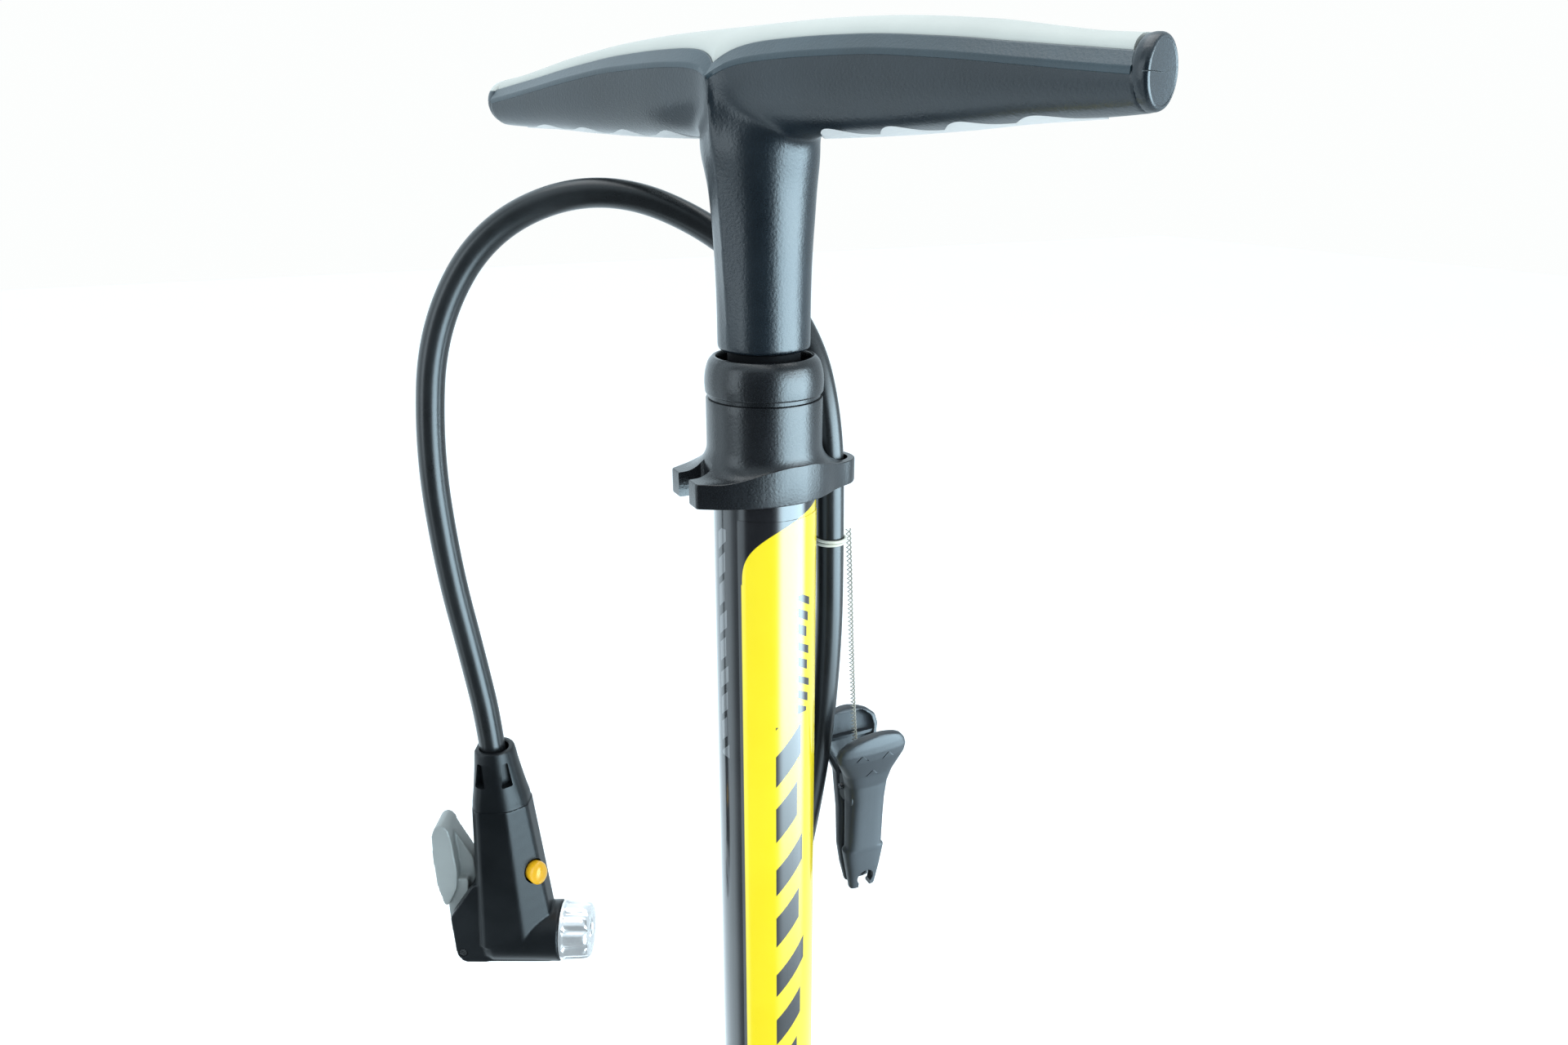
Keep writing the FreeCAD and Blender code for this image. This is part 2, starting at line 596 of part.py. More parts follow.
def head_group():
    spot, turn = head_frame()
    along_x = turn * Rotation(Vector(0, 1, 0), 90)
    seam, mouth = 53.7, 17.7

    lower = [Vector(x, y, 0) for x, y in
             ((-12.6, -7), (-9.5, -11), (3.5, -11), (12.6, -4.5), (12.6, 4.5), (3.5, 11),
              (-9.5, 11), (-12.6, 7))]
    upper = [Vector(x, y, seam) for x, y in
             ((-11.2, -5), (-6.8, -9.6), (2.6, -9.6), (8.2, -4.6), (8.2, 4.6), (2.6, 9.6),
              (-6.8, 9.6), (-11.2, 5))]
    shank = Part.makeLoft([Part.makePolygon(w + w[:1]) for w in (lower, upper)], True, True)
    barrel = Part.makeCylinder(12.2, mouth + 10, Vector(-10, 0, 0), Vector(1, 0, 0))
    lug = outline_prism([(-10, 22), (-14, 19), (-23.6, 6.2), (-18.8, -12), (-10, -12)], -9, 9)
    body = shank.multiFuse([barrel, lug])
    button_dir = Vector(math.cos(math.radians(-40)), math.sin(math.radians(-40)), 0)
    button_base = Vector(9.6, -6.4, 31.0)
    cuts = [
        Part.makeCylinder(7.2, 20, Vector(8, 0, 0), Vector(1, 0, 0)),
        Part.makeCylinder(5.2, 40, Vector(-15, 0, 0), Vector(1, 0, 0)),
        Part.makeBox(24, 8.8, 60, Vector(-36.6, -4.4, -9.6)),
        Part.makeCylinder(3.2, 40, Vector(-1.8, 0, 18)),
        Part.makeCylinder(3.9, 20, button_base - button_dir * 7.1, button_dir),
        Part.makeCylinder(1.5, 30, Vector(-18.2, -15, -3.2), Vector(0, 1, 0)),
    ]
    for cut in cuts:
        body = body.cut(cut)
    shape_node(body, "head_body", spot, turn)

    turned("head_sleeve", [(0, 2.6), (4.95, 2.6), (4.95, 26), (6.3, 26), (7.1, 24.6),
                           (9.8, 0.1), (0, 0.1)],
           (S.head_x - 1.62, S.head_y + 0.79, S.head_z + seam), turn)
    nut = S.nut_dia / 2
    hole = S.valve_hole / 2
    turned("valve_nut", [(hole, mouth + 0.1), (nut + 0.6, mouth + 0.1), (nut + 0.6, mouth + 1.4),
                         (nut, mouth + 2.2), (nut - 0.4, mouth + 8.6), (nut - 1.8, mouth + 10.8),
                         (hole + 0.6, mouth + 10.8), (hole, mouth + 10.2)], spot, along_x)
    ring("head_gasket", hole + 0.5, 7.1, 10.4, 17.6, spot, along_x)
    turned("head_plunger", [(0, -13.9), (2.4, -13.9), (2.4, -9), (5.0, -9), (5.0, 7.6), (0, 7.6)],
           spot, along_x)
    pin = turn * Rotation(Vector(1, 0, 0), -90)
    pin_spot = turn.multVec(Vector(-18.2, 0, -3.2))
    at_pin = (S.head_x + pin_spot.x, S.head_y + pin_spot.y, S.head_z + pin_spot.z)
    disc("lever_pin", 1.45, -8.9, 8.9, at_pin, pin)

    tongue = outline_prism([(-22.0, -3.6), (-18.2, -7.0), (-14.8, -4.6), (-14.8, 1.5),
                            (-15.8, 14), (-15.6, 24), (-24.5, 24), (-24.6, 12)], -4.0, 4.0)
    blade = outline_prism([(-25.6, 12), (-27.6, 44), (-25.2, 50.0), (-21.4, 51), (-14.6, 37.5),
                           (-14.6, 27), (-17.6, 21.4), (-23.6, 13)], -8.5, 8.5)
    hollow = outline_prism([(-20.4, 26), (-22.0, 47), (-10, 50), (-10, 20)], -6.7, 6.7)
    lever = blade.cut(hollow).fuse(tongue)
    lever = lever.cut(Part.makeCylinder(1.52, 30, Vector(-18.2, -15, -3.2), Vector(0, 1, 0)))
    shape_node(lever, "head_lever", spot, turn)

    out = turn * Rotation(Vector(0, 0, 1), -40) * Rotation(Vector(0, 1, 0), 90)
    spot_dir = turn.multVec(button_base)
    at_button = (S.head_x + spot_dir.x, S.head_y + spot_dir.y, S.head_z + spot_dir.z)
    turned("release_button", [(0, -3.2), (3.8, -3.2), (3.8, 1.2), (3.0, 2.3), (1.6, 2.9),
                              (0, 3.1)], at_button, out)
    coil = [Part.makeTorus(2.6, 0.35, Vector(0, 0, -6.7 + 0.75 * k)) for k in range(3)]
    shape_node(Part.makeCompound(coil), "button_spring", at_button, out)


def jaw(side_profile, face_outline, sign):
    """A jaw: its bent side profile across its width, trimmed to its face outline."""
    spots = [Vector(-16, sign * y, z) for y, z in side_profile]
    slab = Part.Face(Part.makePolygon(spots + spots[:1])).extrude(Vector(32, 0, 0))
    return slab.common(outline_prism(face_outline, -16, 16))


def clip_group():
    spot = (S.clip_x, S.clip_y, S.clip_z)
    half_front = [(0, 22.4), (5, 22.2), (9.5, 20.6), (12.2, 17.2), (12.3, 14), (9.6, 9),
                  (7.4, 3), (6.9, -8), (6.7, -17), (7.4, -19.4), (6.9, -30), (5.2, -39.5),
                  (3.8, -39.5), (3.4, -36.5), (0, -34.4)]
    front_face = half_front + [(-x, z) for x, z in reversed(half_front[1:-1])]
    front_side = [(11.4, 23), (12.6, 20), (11.0, 12), (8.6, 3), (7.0, -12), (3.9, -40),
                  (0.4, -40), (0.4, -36), (3.4, -30), (4.6, -12), (6.2, 3), (8.6, 12), (9.6, 23)]
    bore = Part.makeCylinder(1.26, 30, Vector(-15, 0, 0), Vector(1, 0, 0))
    ears = []
    for x in (-6.2, 4.4):
        ears.append(outline_prism([(x, -5), (x + 1.8, -5), (x + 1.8, 5), (x, 5)], -7.4, 2.4))
    front = jaw(front_side, front_face, -1).multiFuse(ears).cut(bore)
    shape_node(front, "clip_front_jaw", spot)

    half_rear = [(0, 25.5), (4.6, 24.6), (8.0, 21.5), (9.5, 17), (8.6, 12), (6.2, 8),
                 (5.9, -8), (5.9, -17), (6.4, -19.4), (5.9, -30), (4.4, -38.5), (0, -38.5)]
    rear_face = half_rear + [(-x, z) for x, z in reversed(half_rear[1:-1])]
    rear_side = [(12.6, 26), (13.6, 20), (12.0, 12), (9.2, 3), (7.0, -12), (3.6, -39),
                 (0.4, -39), (0.4, -36), (3.2, -30), (4.6, -12), (6.8, 3), (9.6, 12), (10.9, 26)]
    window = outline_prism([(-5.6, 12), (-3.0, 20.5), (3.0, 20.5), (5.6, 12)], 0, 16)
    bore = Part.makeCylinder(1.22, 30, Vector(-15, 0, 0), Vector(1, 0, 0))
    ears = []
    for x in (-4.1, 2.5):
        ears.append(outline_prism([(x, -4.6), (x + 1.6, -4.6), (x + 1.6, 4.6), (x, 4.6)],
                                  -2.4, 7.6))
    rear = jaw(rear_side, rear_face, 1).cut(window).multiFuse(ears).cut(bore)
    shape_node(rear, "clip_rear_jaw", spot)
    disc("clip_pin", 1.2, -7.2, 7.2, spot, Rotation(Vector(0, 1, 0), 90))
    coil = [Part.makeTorus(2.2, 0.45, Vector(x, 0, 0), Vector(1, 0, 0)) for x in (-1.5, -0.5, 0.5, 1.5)]
    shape_node(Part.makeCompound(coil), "clip_spring", spot)
    wire, radii, length = swept(WIRE_ROUTE, 0.7)
    print("tie wire arc radii mm:", [round(r, 1) for r in radii], "length", round(length, 1))
    shape_node(wire, "tie_wire")


WIRE_ROUTE = [(29.9, 0.0, 541), (30.3, -0.9, 524), (31.0, -1.1, 504), (32.4, -0.7, 482),
              (34.2, 0.5, 463), (36.2, 1.4, 448.4)]


def export():
    DOC.recompute()
    for obj in DOC.Objects:
        bad = [word for word in obj.State if word in ("Invalid", "Error")]
        if bad:
            raise RuntimeError(f"{obj.Name}: {bad}")
    os.makedirs("parts", exist_ok=True)
    for obj in NODES:
        shape = obj.Shape
        if shape.isNull() or not shape.isValid() or shape.Volume <= 0:
            raise RuntimeError(f"{obj.Label}: bad shape")
        shape.exportStep(f"parts/{obj.Label}.step")
        box = shape.BoundBox
        print(f"{obj.Label:20s} {len(shape.Solids)} solid(s) {shape.Volume:10.1f} mm3  "
              f"z {box.ZMin:.1f}..{box.ZMax:.1f}")


barrel_group()
rod_group()
handle_group()
base_group()
valve_group()
gauge_group()
hose_group()
head_group()
clip_group()
export()
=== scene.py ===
# %% [markdown]
# # A standing floor pump, seen from its gauge side and a little above
# The pump is already built as solid parts. This lesson dresses those parts: it rebuilds
# what the eye lands on (handle, cap, collar, label, head, clip) with finer surfaces, and
# gives every other part a finish of its own. Lengths are written in millimetres and turned
# into metres as each mesh is made, because the pump's own drawing is in millimetres.

# %% Load the pump
import math

import bpy
import bmesh
import numpy as np
from mathutils import Matrix, Vector


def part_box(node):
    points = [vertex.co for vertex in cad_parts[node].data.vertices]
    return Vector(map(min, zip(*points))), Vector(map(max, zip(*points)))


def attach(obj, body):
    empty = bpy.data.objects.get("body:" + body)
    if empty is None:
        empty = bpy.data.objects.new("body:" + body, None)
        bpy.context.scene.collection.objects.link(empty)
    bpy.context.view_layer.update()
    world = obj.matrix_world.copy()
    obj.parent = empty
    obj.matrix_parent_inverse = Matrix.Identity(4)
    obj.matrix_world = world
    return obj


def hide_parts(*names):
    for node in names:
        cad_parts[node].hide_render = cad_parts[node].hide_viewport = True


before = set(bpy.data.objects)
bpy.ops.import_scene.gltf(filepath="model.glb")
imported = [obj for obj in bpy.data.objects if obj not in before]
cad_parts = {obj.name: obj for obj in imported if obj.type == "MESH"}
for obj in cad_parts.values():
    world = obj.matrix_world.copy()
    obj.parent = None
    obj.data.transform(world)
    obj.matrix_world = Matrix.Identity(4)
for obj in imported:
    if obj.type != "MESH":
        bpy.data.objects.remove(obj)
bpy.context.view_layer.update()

# %% [markdown]
# ## Meshes from grids of points
# Nearly every piece of a pump is a sheet of points with two directions: round and along.
# One helper turns such a grid into faces. Closing a direction joins its last row to its
# first, and a cap is one fan of faces about the middle of the first or last row. Building
# whole arrays keeps a piece exact and quick, where editing by hand would be neither.

# %% Grid helper
MM = 0.001
TAU = 2 * math.pi
BOX_FACES = np.array([(0, 3, 2, 1), (4, 5, 6, 7), (0, 1, 5, 4), (1, 2, 6, 5), (2, 3, 7, 6), (3, 0, 4, 7)])


def whole_turn(count):
    """Even angles round a full turn, the first one 0."""
    return np.linspace(0, TAU, count, endpoint=False)


def fade(value, low, high):
    """0 below low, 1 above high, straight between."""
    return np.clip((value - low) / (high - low), 0, 1)


def placed(name, data):
    """A new object in the scene, at the origin."""
    obj = bpy.data.objects.new(name, data)
    bpy.context.scene.collection.objects.link(obj)
    return obj


def spots_of(mesh):
    """A mesh's points in metres, as one array."""
    spots = np.zeros(len(mesh.vertices) * 3)
    mesh.vertices.foreach_get("co", spots)
    return spots.reshape(-1, 3)


def final_mesh(obj):
    """The mesh that an object shows with its modifiers or its curve worked out."""
    graph = bpy.context.evaluated_depsgraph_get()
    return bpy.data.meshes.new_from_object(obj.evaluated_get(graph))


def mesh_piece(name, points, faces, smooth=True):
    """A mesh object from points in millimetres and a list of faces."""
    mesh = bpy.data.meshes.new(name)
    mesh.from_pydata((np.asarray(points, float) * MM).tolist(), [], [list(f) for f in faces])
    mesh.validate()
    mesh.polygons.foreach_set("use_smooth", np.full(len(mesh.polygons), smooth))
    mesh.update()
    return placed(name, mesh)


def grid_faces(rows, cols, close_rows=False, close_cols=True, start=0):
    """Four-sided faces between neighbours of a rows x cols grid of points."""
    r = np.arange(rows if close_rows else rows - 1)[:, None]
    c = np.arange(cols if close_cols else cols - 1)[None, :]
    a = (r % rows) * cols + c % cols
    b = (r % rows) * cols + (c + 1) % cols
    d = ((r + 1) % rows) * cols + c % cols
    e = ((r + 1) % rows) * cols + (c + 1) % cols
    return (np.stack([a, b, e, d], -1).reshape(-1, 4) + start).tolist()


def grid_piece(name, grid, close_rows=False, close_cols=True, caps=True, smooth=True):
    """A piece from a grid of points, rows x cols x 3. Its end rows are capped by fans, or
    with caps="flat" by one flat face each, which suits outlines that turn inwards."""
    grid = np.asarray(grid, float)
    rows, cols = grid.shape[:2]
    points = grid.reshape(-1, 3)
    faces = grid_faces(rows, cols, close_rows, close_cols)
    if caps == "flat":
        faces += [list(range(cols))[::-1], list(range((rows - 1) * cols, rows * cols))]
    elif caps and not close_rows:
        ends = (0, (rows - 1) * cols)
        points = np.vstack([points, grid[0].mean(0), grid[-1].mean(0)])
        for i, first in enumerate(ends):
            hub = rows * cols + i
            ring = [[first + c, first + (c + 1) % cols, hub] for c in range(cols)]
            faces += [f[::-1] for f in ring] if i == 0 else ring
    piece = mesh_piece(name, points, faces, smooth)
    outward(piece)
    return piece


def outward(piece, merge=1e-6):
    """Merge doubles and turn the faces of a closed piece outwards."""
    work = bmesh.new()
    work.from_mesh(piece.data)
    bmesh.ops.remove_doubles(work, verts=work.verts, dist=merge)
    bmesh.ops.recalc_face_normals(work, faces=work.faces)
    work.to_mesh(piece.data)
    work.free()
    piece.data.update()


def sharpen(piece, degrees=32):
    """Edges steeper than an angle stay crisp, the rest shade smooth."""
    piece.data.set_sharp_from_angle(angle=math.radians(degrees))


def turned_piece(name, profile, steps=96, place=None, closed=True):
    """A lathe piece: (radius, height) corners carried round the upright axis."""
    profile = np.asarray(profile, float)
    turn = whole_turn(steps)[None, :]
    r, z = profile[:, :1], profile[:, 1:]
    grid = np.stack([r * np.cos(turn), r * np.sin(turn), z + 0 * turn], -1)
    if place is not None:
        grid = place(grid)
    piece = grid_piece(name, grid, close_rows=closed, caps=not closed)
    sharpen(piece)
    return piece


def rounded(corners, radius, steps=4, closed=True):
    """A polygon with each corner cut back and rounded: an arc as a quadratic blend."""
    corners = np.asarray(corners, float)
    count = len(corners)
    radius = np.broadcast_to(radius, (count,))
    out = []
    for i in range(count):
        here = corners[i]
        if not closed and i in (0, count - 1):
            out.append(here[None])
            continue
        back, ahead = corners[i - 1] - here, corners[(i + 1) % count] - here
        lb, la = np.linalg.norm(back), np.linalg.norm(ahead)
        cut = min(radius[i], 0.45 * lb, 0.45 * la)
        a, b = here + back / lb * cut, here + ahead / la * cut
        t = np.linspace(0, 1, steps)[:, None]
        out.append((1 - t) ** 2 * a + 2 * t * (1 - t) * here + t ** 2 * b)
    return np.vstack(out)


def frame_of(spot, turn_z=0.0, tilt_x=0.0):
    """A function that carries local points to the pump: turn about x, then z, then move."""
    m = Matrix.Rotation(math.radians(turn_z), 3, "Z") @ Matrix.Rotation(math.radians(tilt_x), 3, "X")
    m = np.array(m)
    return lambda p: np.asarray(p, float) @ m.T + np.asarray(spot, float)


def modify(piece, kind, **settings):
    """Add one modifier with its settings."""
    mod = piece.modifiers.new(kind.title(), kind)
    for key, value in settings.items():
        setattr(mod, key, value)
    return mod


def apply_all(piece):
    """Bake the modifiers into the mesh, so that the piece is a plain mesh again."""
    fresh = final_mesh(piece)
    piece.modifiers.clear()
    old = piece.data
    piece.data = fresh
    bpy.data.meshes.remove(old)
    return piece


def joined(name, parts):
    """Several closed parts in one piece, each left as it is."""
    work = bmesh.new()
    for part in parts:
        work.from_mesh(part.data)
        bpy.data.objects.remove(part)
    mesh = bpy.data.meshes.new(name)
    work.to_mesh(mesh)
    work.free()
    return placed(name, mesh)


def fused(name, parts, voxel, smooth_steps=5):
    """One skin over several closed parts: joined, remeshed in small cells, and eased."""
    piece = joined(name, parts)
    modify(piece, "REMESH", mode="VOXEL", voxel_size=voxel * MM, use_smooth_shade=True)
    modify(piece, "SMOOTH", factor=0.5, iterations=smooth_steps)
    return apply_all(piece)


def minus(piece, *tools):
    """Cut closed tool pieces out of a piece, exactly, and drop the tools."""
    for tool in tools:
        modify(piece, "BOOLEAN", operation="DIFFERENCE", solver="EXACT", object=tool)
    apply_all(piece)
    for tool in tools:
        bpy.data.objects.remove(tool)
    return piece


def block(name, low, high):
    """A plain cutting block, for use as a tool only."""
    (a, b, c), (d, e, f) = low, high
    corners = [(x, y, z) for z in (c, f) for x, y in ((a, b), (d, b), (d, e), (a, e))]
    return mesh_piece(name, corners, BOX_FACES, smooth=False)


def between(outline, low, high, axis):
    """Two copies of a flat outline, at a low and a high value of the axis it lacks."""
    outline = np.asarray(outline, float)
    return np.stack([np.insert(outline, axis, value, axis=1) for value in (low, high)])


def steps_between(value, marks, heights):
    """A smooth height at each value: cubic pieces through the marks that never overshoot.
    The slope at a mark is the harmonic mean of the steps beside it, or 0 where they turn."""
    marks, heights = np.asarray(marks, float), np.asarray(heights, float)
    step = np.diff(heights) / np.diff(marks)
    before, after = step[:-1], step[1:]
    same_way = before * after > 0
    mean = 2 * before * after / np.where(same_way, before + after, 1.0)
    slope = np.concatenate([step[:1], np.where(same_way, mean, 0.0), step[-1:]])
    value = np.clip(value, marks[0], marks[-1])
    i = np.clip(np.searchsorted(marks, value, side="right") - 1, 0, len(marks) - 2)
    gap = marks[i + 1] - marks[i]
    t = (value - marks[i]) / gap
    return ((2 * t ** 3 - 3 * t ** 2 + 1) * heights[i] + (t ** 3 - 2 * t ** 2 + t) * gap * slope[i]
            + (3 * t ** 2 - 2 * t ** 3) * heights[i + 1] + (t ** 3 - t ** 2) * gap * slope[i + 1])


# %% [markdown]
# ## Camera, lights and floor
# The pump was seen by a camera about 0.33 m in front of it, at the height of the handle,
# looking 19 degrees down, with the whole room bright but for the side the user stands on.
# Black plastic shows little but what it mirrors. So the room has a white sky for soft light,
# and for mirrored light the sky depends on the compass bearing: dark behind the user, a wide
# blue-white window to the right of the user, a narrow one to the left, a dim corner beside it
# and a bright wall beyond the pump. Those give the long streaks that shape a black tube.
# Three weak panels add the direction that shadows need.

# %% Camera, lights, floor
scene = bpy.context.scene
scene.view_settings.view_transform = "Standard"

lens = bpy.data.cameras.new("view_camera")
lens.lens, lens.sensor_width, lens.clip_start = 25.5, 36.0, 0.01
camera = placed("view_camera", lens)
camera.location = (-0.1384, -0.2973, 0.6605)
camera.rotation_euler = (math.radians(71), 0, math.radians(-26))
scene.camera = camera

world = bpy.data.worlds.new("bright_room")
scene.world = world
world.use_nodes = True
room = world.node_tree


def room_node(kind, settings, *values, out=0):
    """One node of the room's light: settings, then values or sockets in order."""
    made = room.nodes.new(kind)
    for key, value in settings.items():
        setattr(made, key, value)
    for key, value in enumerate(values):
        if isinstance(value, bpy.types.NodeSocket):
            room.links.new(value, made.inputs[key])
        elif value is not None:
            made.inputs[key].default_value = value
    return made.outputs[out]


def room_sum(operation, *values):
    return room_node("ShaderNodeMath", {"operation": operation}, *values)


towards = room_node("ShaderNodeTexCoord", {}, out="Generated")
east = room_node("ShaderNodeSeparateXYZ", {}, towards, out="X")
north = room_node("ShaderNodeSeparateXYZ", {}, towards, out="Y")
height = room_node("ShaderNodeSeparateXYZ", {}, towards, out="Z")
bearing = room_sum("MULTIPLY", room_sum("ARCTAN2", north, east), 180 / math.pi)


def slope_of(value, low, high):
    """0 below low, 1 above high, smooth between."""
    return room_node("ShaderNodeMapRange", {"interpolation_type": "SMOOTHSTEP"}, value, low, high)


def sector(start, end, soft):
    """1 between two bearings in degrees, 0 outside, with soft sides."""
    rise = slope_of(bearing, start - soft, start + soft)
    fall = slope_of(bearing, end - soft, end + soft)
    return room_sum("SUBTRACT", rise, fall)


def band_of(start, end):
    """1 above one height of the sky, 0 below the other."""
    return slope_of(height, start, end)


def times(*values):
    return room_sum("MULTIPLY", *values)


def plus(*values):
    return room_sum("ADD", *values)


def rest_of(value, whole=1.0):
    return room_sum("SUBTRACT", whole, value)


WINDOW_GAIN, STRIP_GAIN, WALL_GAIN, CORNER_LOSS, USER_LOSS = 13.0, 1.6, 0.8, 0.65, 0.95
window = times(times(sector(-82, -20, 9), rest_of(band_of(0.12, 0.45))), band_of(-0.7, -0.4))
bright_wall = times(sector(60, 165, 14), WALL_GAIN)
dim_corner = times(plus(sector(165, 220, 9), sector(-220, -162, 9)), CORNER_LOSS)
user = times(sector(-162, -92, 9), rest_of(band_of(0.3, 0.8), USER_LOSS))
strip = times(sector(-176, -162, 5), STRIP_GAIN)
mirror = plus(plus(rest_of(user), times(window, WINDOW_GAIN)), strip)
mirror = plus(mirror, room_sum("SUBTRACT", bright_wall, dim_corner))
plain = plus(times(band_of(-0.3, 0.1), 0.35), 0.6)
shiny = room_node("ShaderNodeLightPath", {}, out="Is Glossy Ray")
seen = room_node("ShaderNodeLightPath", {}, out="Is Camera Ray")
glow = room_sum("MAXIMUM", plus(times(mirror, shiny), times(plain, rest_of(shiny))), seen)


def two_tints(mask, one, two):
    """Colour one where the mask is 0, colour two where it is 1."""
    spare = [None] * 5
    return room_node("ShaderNodeMix", {"data_type": "RGBA"}, mask, *spare, one, two, out=2)


CLOUDY, WINDOW_BLUE, PALE_WALL = (0.76, 0.91, 1.0, 1), (0.64, 0.87, 1.0, 1), (0.98, 0.993, 0.986, 1)
clean = two_tints(seen, two_tints(window, CLOUDY, WINDOW_BLUE), PALE_WALL)
backdrop = room.nodes["Background"]
room.links.new(clean, backdrop.inputs["Color"])
room.links.new(glow, backdrop.inputs["Strength"])


def soft_panel(name, spot, size, watts, tint=(1, 1, 1), aim=(0, 0, 0.6)):
    """A flat soft light that faces a point of the pump."""
    light = bpy.data.lights.new(name, "AREA")
    light.shape, light.size, light.size_y = "RECTANGLE", *size
    light.energy, light.color = watts, tint
    obj = placed(name, light)
    obj.location = spot
    obj.rotation_euler = (Vector(aim) - Vector(spot)).to_track_quat("-Z", "Y").to_euler()


soft_panel("panel_left", (-1.5, -0.1, 0.85), (0.7, 1.3), 6, (0.8, 0.92, 1.0))
soft_panel("panel_right", (1.0, -1.1, 0.75), (1.1, 1.3), 10, (0.85, 0.95, 1.0))
soft_panel("panel_top", (0.2, 0.1, 2.2), (1.6, 1.6), 16)

# %% [markdown]
# ## Shader sums written as sums
# A finish is arithmetic on noise. Wrapping a socket in a small class lets the arithmetic
# read as plain Python: each operator adds the Math node it stands for. One method makes
# every other node from its type, its settings and what goes into its sockets.

# %% Shader helper
class Wire:
    """A number socket that can be added, multiplied and compared like a number."""

    def __init__(self, finish, socket):
        self.finish, self.socket = finish, socket

    def _math(self, operation, *others):
        return self.finish.node("ShaderNodeMath", {"operation": operation}, self, *others)

    def __add__(self, other):
        return self._math("ADD", other)

    __radd__ = __add__

    def __mul__(self, other):
        return self._math("MULTIPLY", other)

    __rmul__ = __mul__

    def __sub__(self, other):
        return self._math("SUBTRACT", other)

    def __rsub__(self, other):
        return self.finish.node("ShaderNodeMath", {"operation": "SUBTRACT"}, other, self)

    def __truediv__(self, other):
        return self._math("DIVIDE", other)

    def __gt__(self, other):
        return self._math("GREATER_THAN", other)

    def __lt__(self, other):
        return self._math("LESS_THAN", other)

    def part(self):
        return self._math("FRACT")

    def whole(self):
        return self._math("FLOOR")

    def power(self, other):
        return self._math("POWER", other)

    def least(self, other):
        return self._math("MINIMUM", other)

    def most(self, other):
        return self._math("MAXIMUM", other)

    def step(self, low, high):
        """0 below low, 1 above high, smooth between."""
        return self.finish.node("ShaderNodeMapRange", {"interpolation_type": "SMOOTHSTEP"},
                                self, low, high, 0.0, 1.0)


class Finish:
    """One material under construction."""

    def __init__(self, name, base, rough, **fixed):
        self.material = bpy.data.materials.new(name)
        self.material.use_nodes = True
        self.tree = self.material.node_tree
        self.shader = self.tree.nodes["Principled BSDF"]
        self.colour = (*base, 1.0)
        self.shader.inputs["Base Color"].default_value = self.colour
        self.shader.inputs["Roughness"].default_value = rough
        for key, value in fixed.items():
            self.shader.inputs[key.replace("_", " ")].default_value = value
        self._place = None

    def node(self, kind, settings, *values, out=0, **named):
        """Any node: its settings first, then values or wires by order or by name."""
        made = self.tree.nodes.new(kind)
        for key, value in settings.items():
            setattr(made, key, value)
        for key, value in [*enumerate(values), *named.items()]:
            socket = made.inputs[key.replace("_", " ") if isinstance(key, str) else key]
            if isinstance(value, Wire):
                self.tree.links.new(value.socket, socket)
            elif value is not None:
                socket.default_value = value
        return Wire(self, made.outputs[out])

    @property
    def place(self):
        """Where a point is on the pump, in metres."""
        if self._place is None:
            self._place = self.node("ShaderNodeTexCoord", {}, out="Object")
        return self._place

    def axis(self, which):
        return self.node("ShaderNodeSeparateXYZ", {}, self.place, out=which)

    def noise(self, scale, detail=4.0, rough=0.55, stretch=None, where=None):
        spot = where or self.place
        if stretch:
            spot = self.node("ShaderNodeMapping", {}, spot, Scale=stretch)
        return self.node("ShaderNodeTexNoise", {}, spot, Scale=scale, Detail=detail, Roughness=rough)

    def specks(self, scale, size):
        """1 on small scattered dots, 0 elsewhere."""
        gap = self.node("ShaderNodeTexVoronoi", {}, self.place, Scale=scale)
        return gap < size

    def mix(self, mask, one, two):
        """Colour one where the mask is 0, colour two where it is 1."""
        made = self.tree.nodes.new("ShaderNodeMix")
        made.data_type = "RGBA"
        made.clamp_factor = True
        for socket, value in ((made.inputs[0], mask), (made.inputs[6], one), (made.inputs[7], two)):
            if isinstance(value, Wire):
                self.tree.links.new(value.socket, socket)
            else:
                socket.default_value = value if isinstance(value, (int, float)) else (*value[:3], 1.0)
        return Wire(self, made.outputs[2])

    def feed(self, **sockets):
        for key, wire in sockets.items():
            self.tree.links.new(wire.socket, self.shader.inputs[key.replace("_", " ")])
        return self

    def bump(self, height, strength, depth=0.0002):
        bumped = self.node("ShaderNodeBump", {}, Strength=strength, Distance=depth, Height=height)
        return self.feed(Normal=bumped)


# %% [markdown]
# ## Plastics and rubbers
# Moulded nylon has a fine spark-eroded grain: the surface is a field of tiny domes, so the
# highlight breaks into glitter at its edges. Handling polishes patches of it and dust
# greys it a little. So each plastic here is one recipe with a base colour, a grain size,
# a slow drift in tone and a roughness that wanders. Rubber is the same recipe, duller.

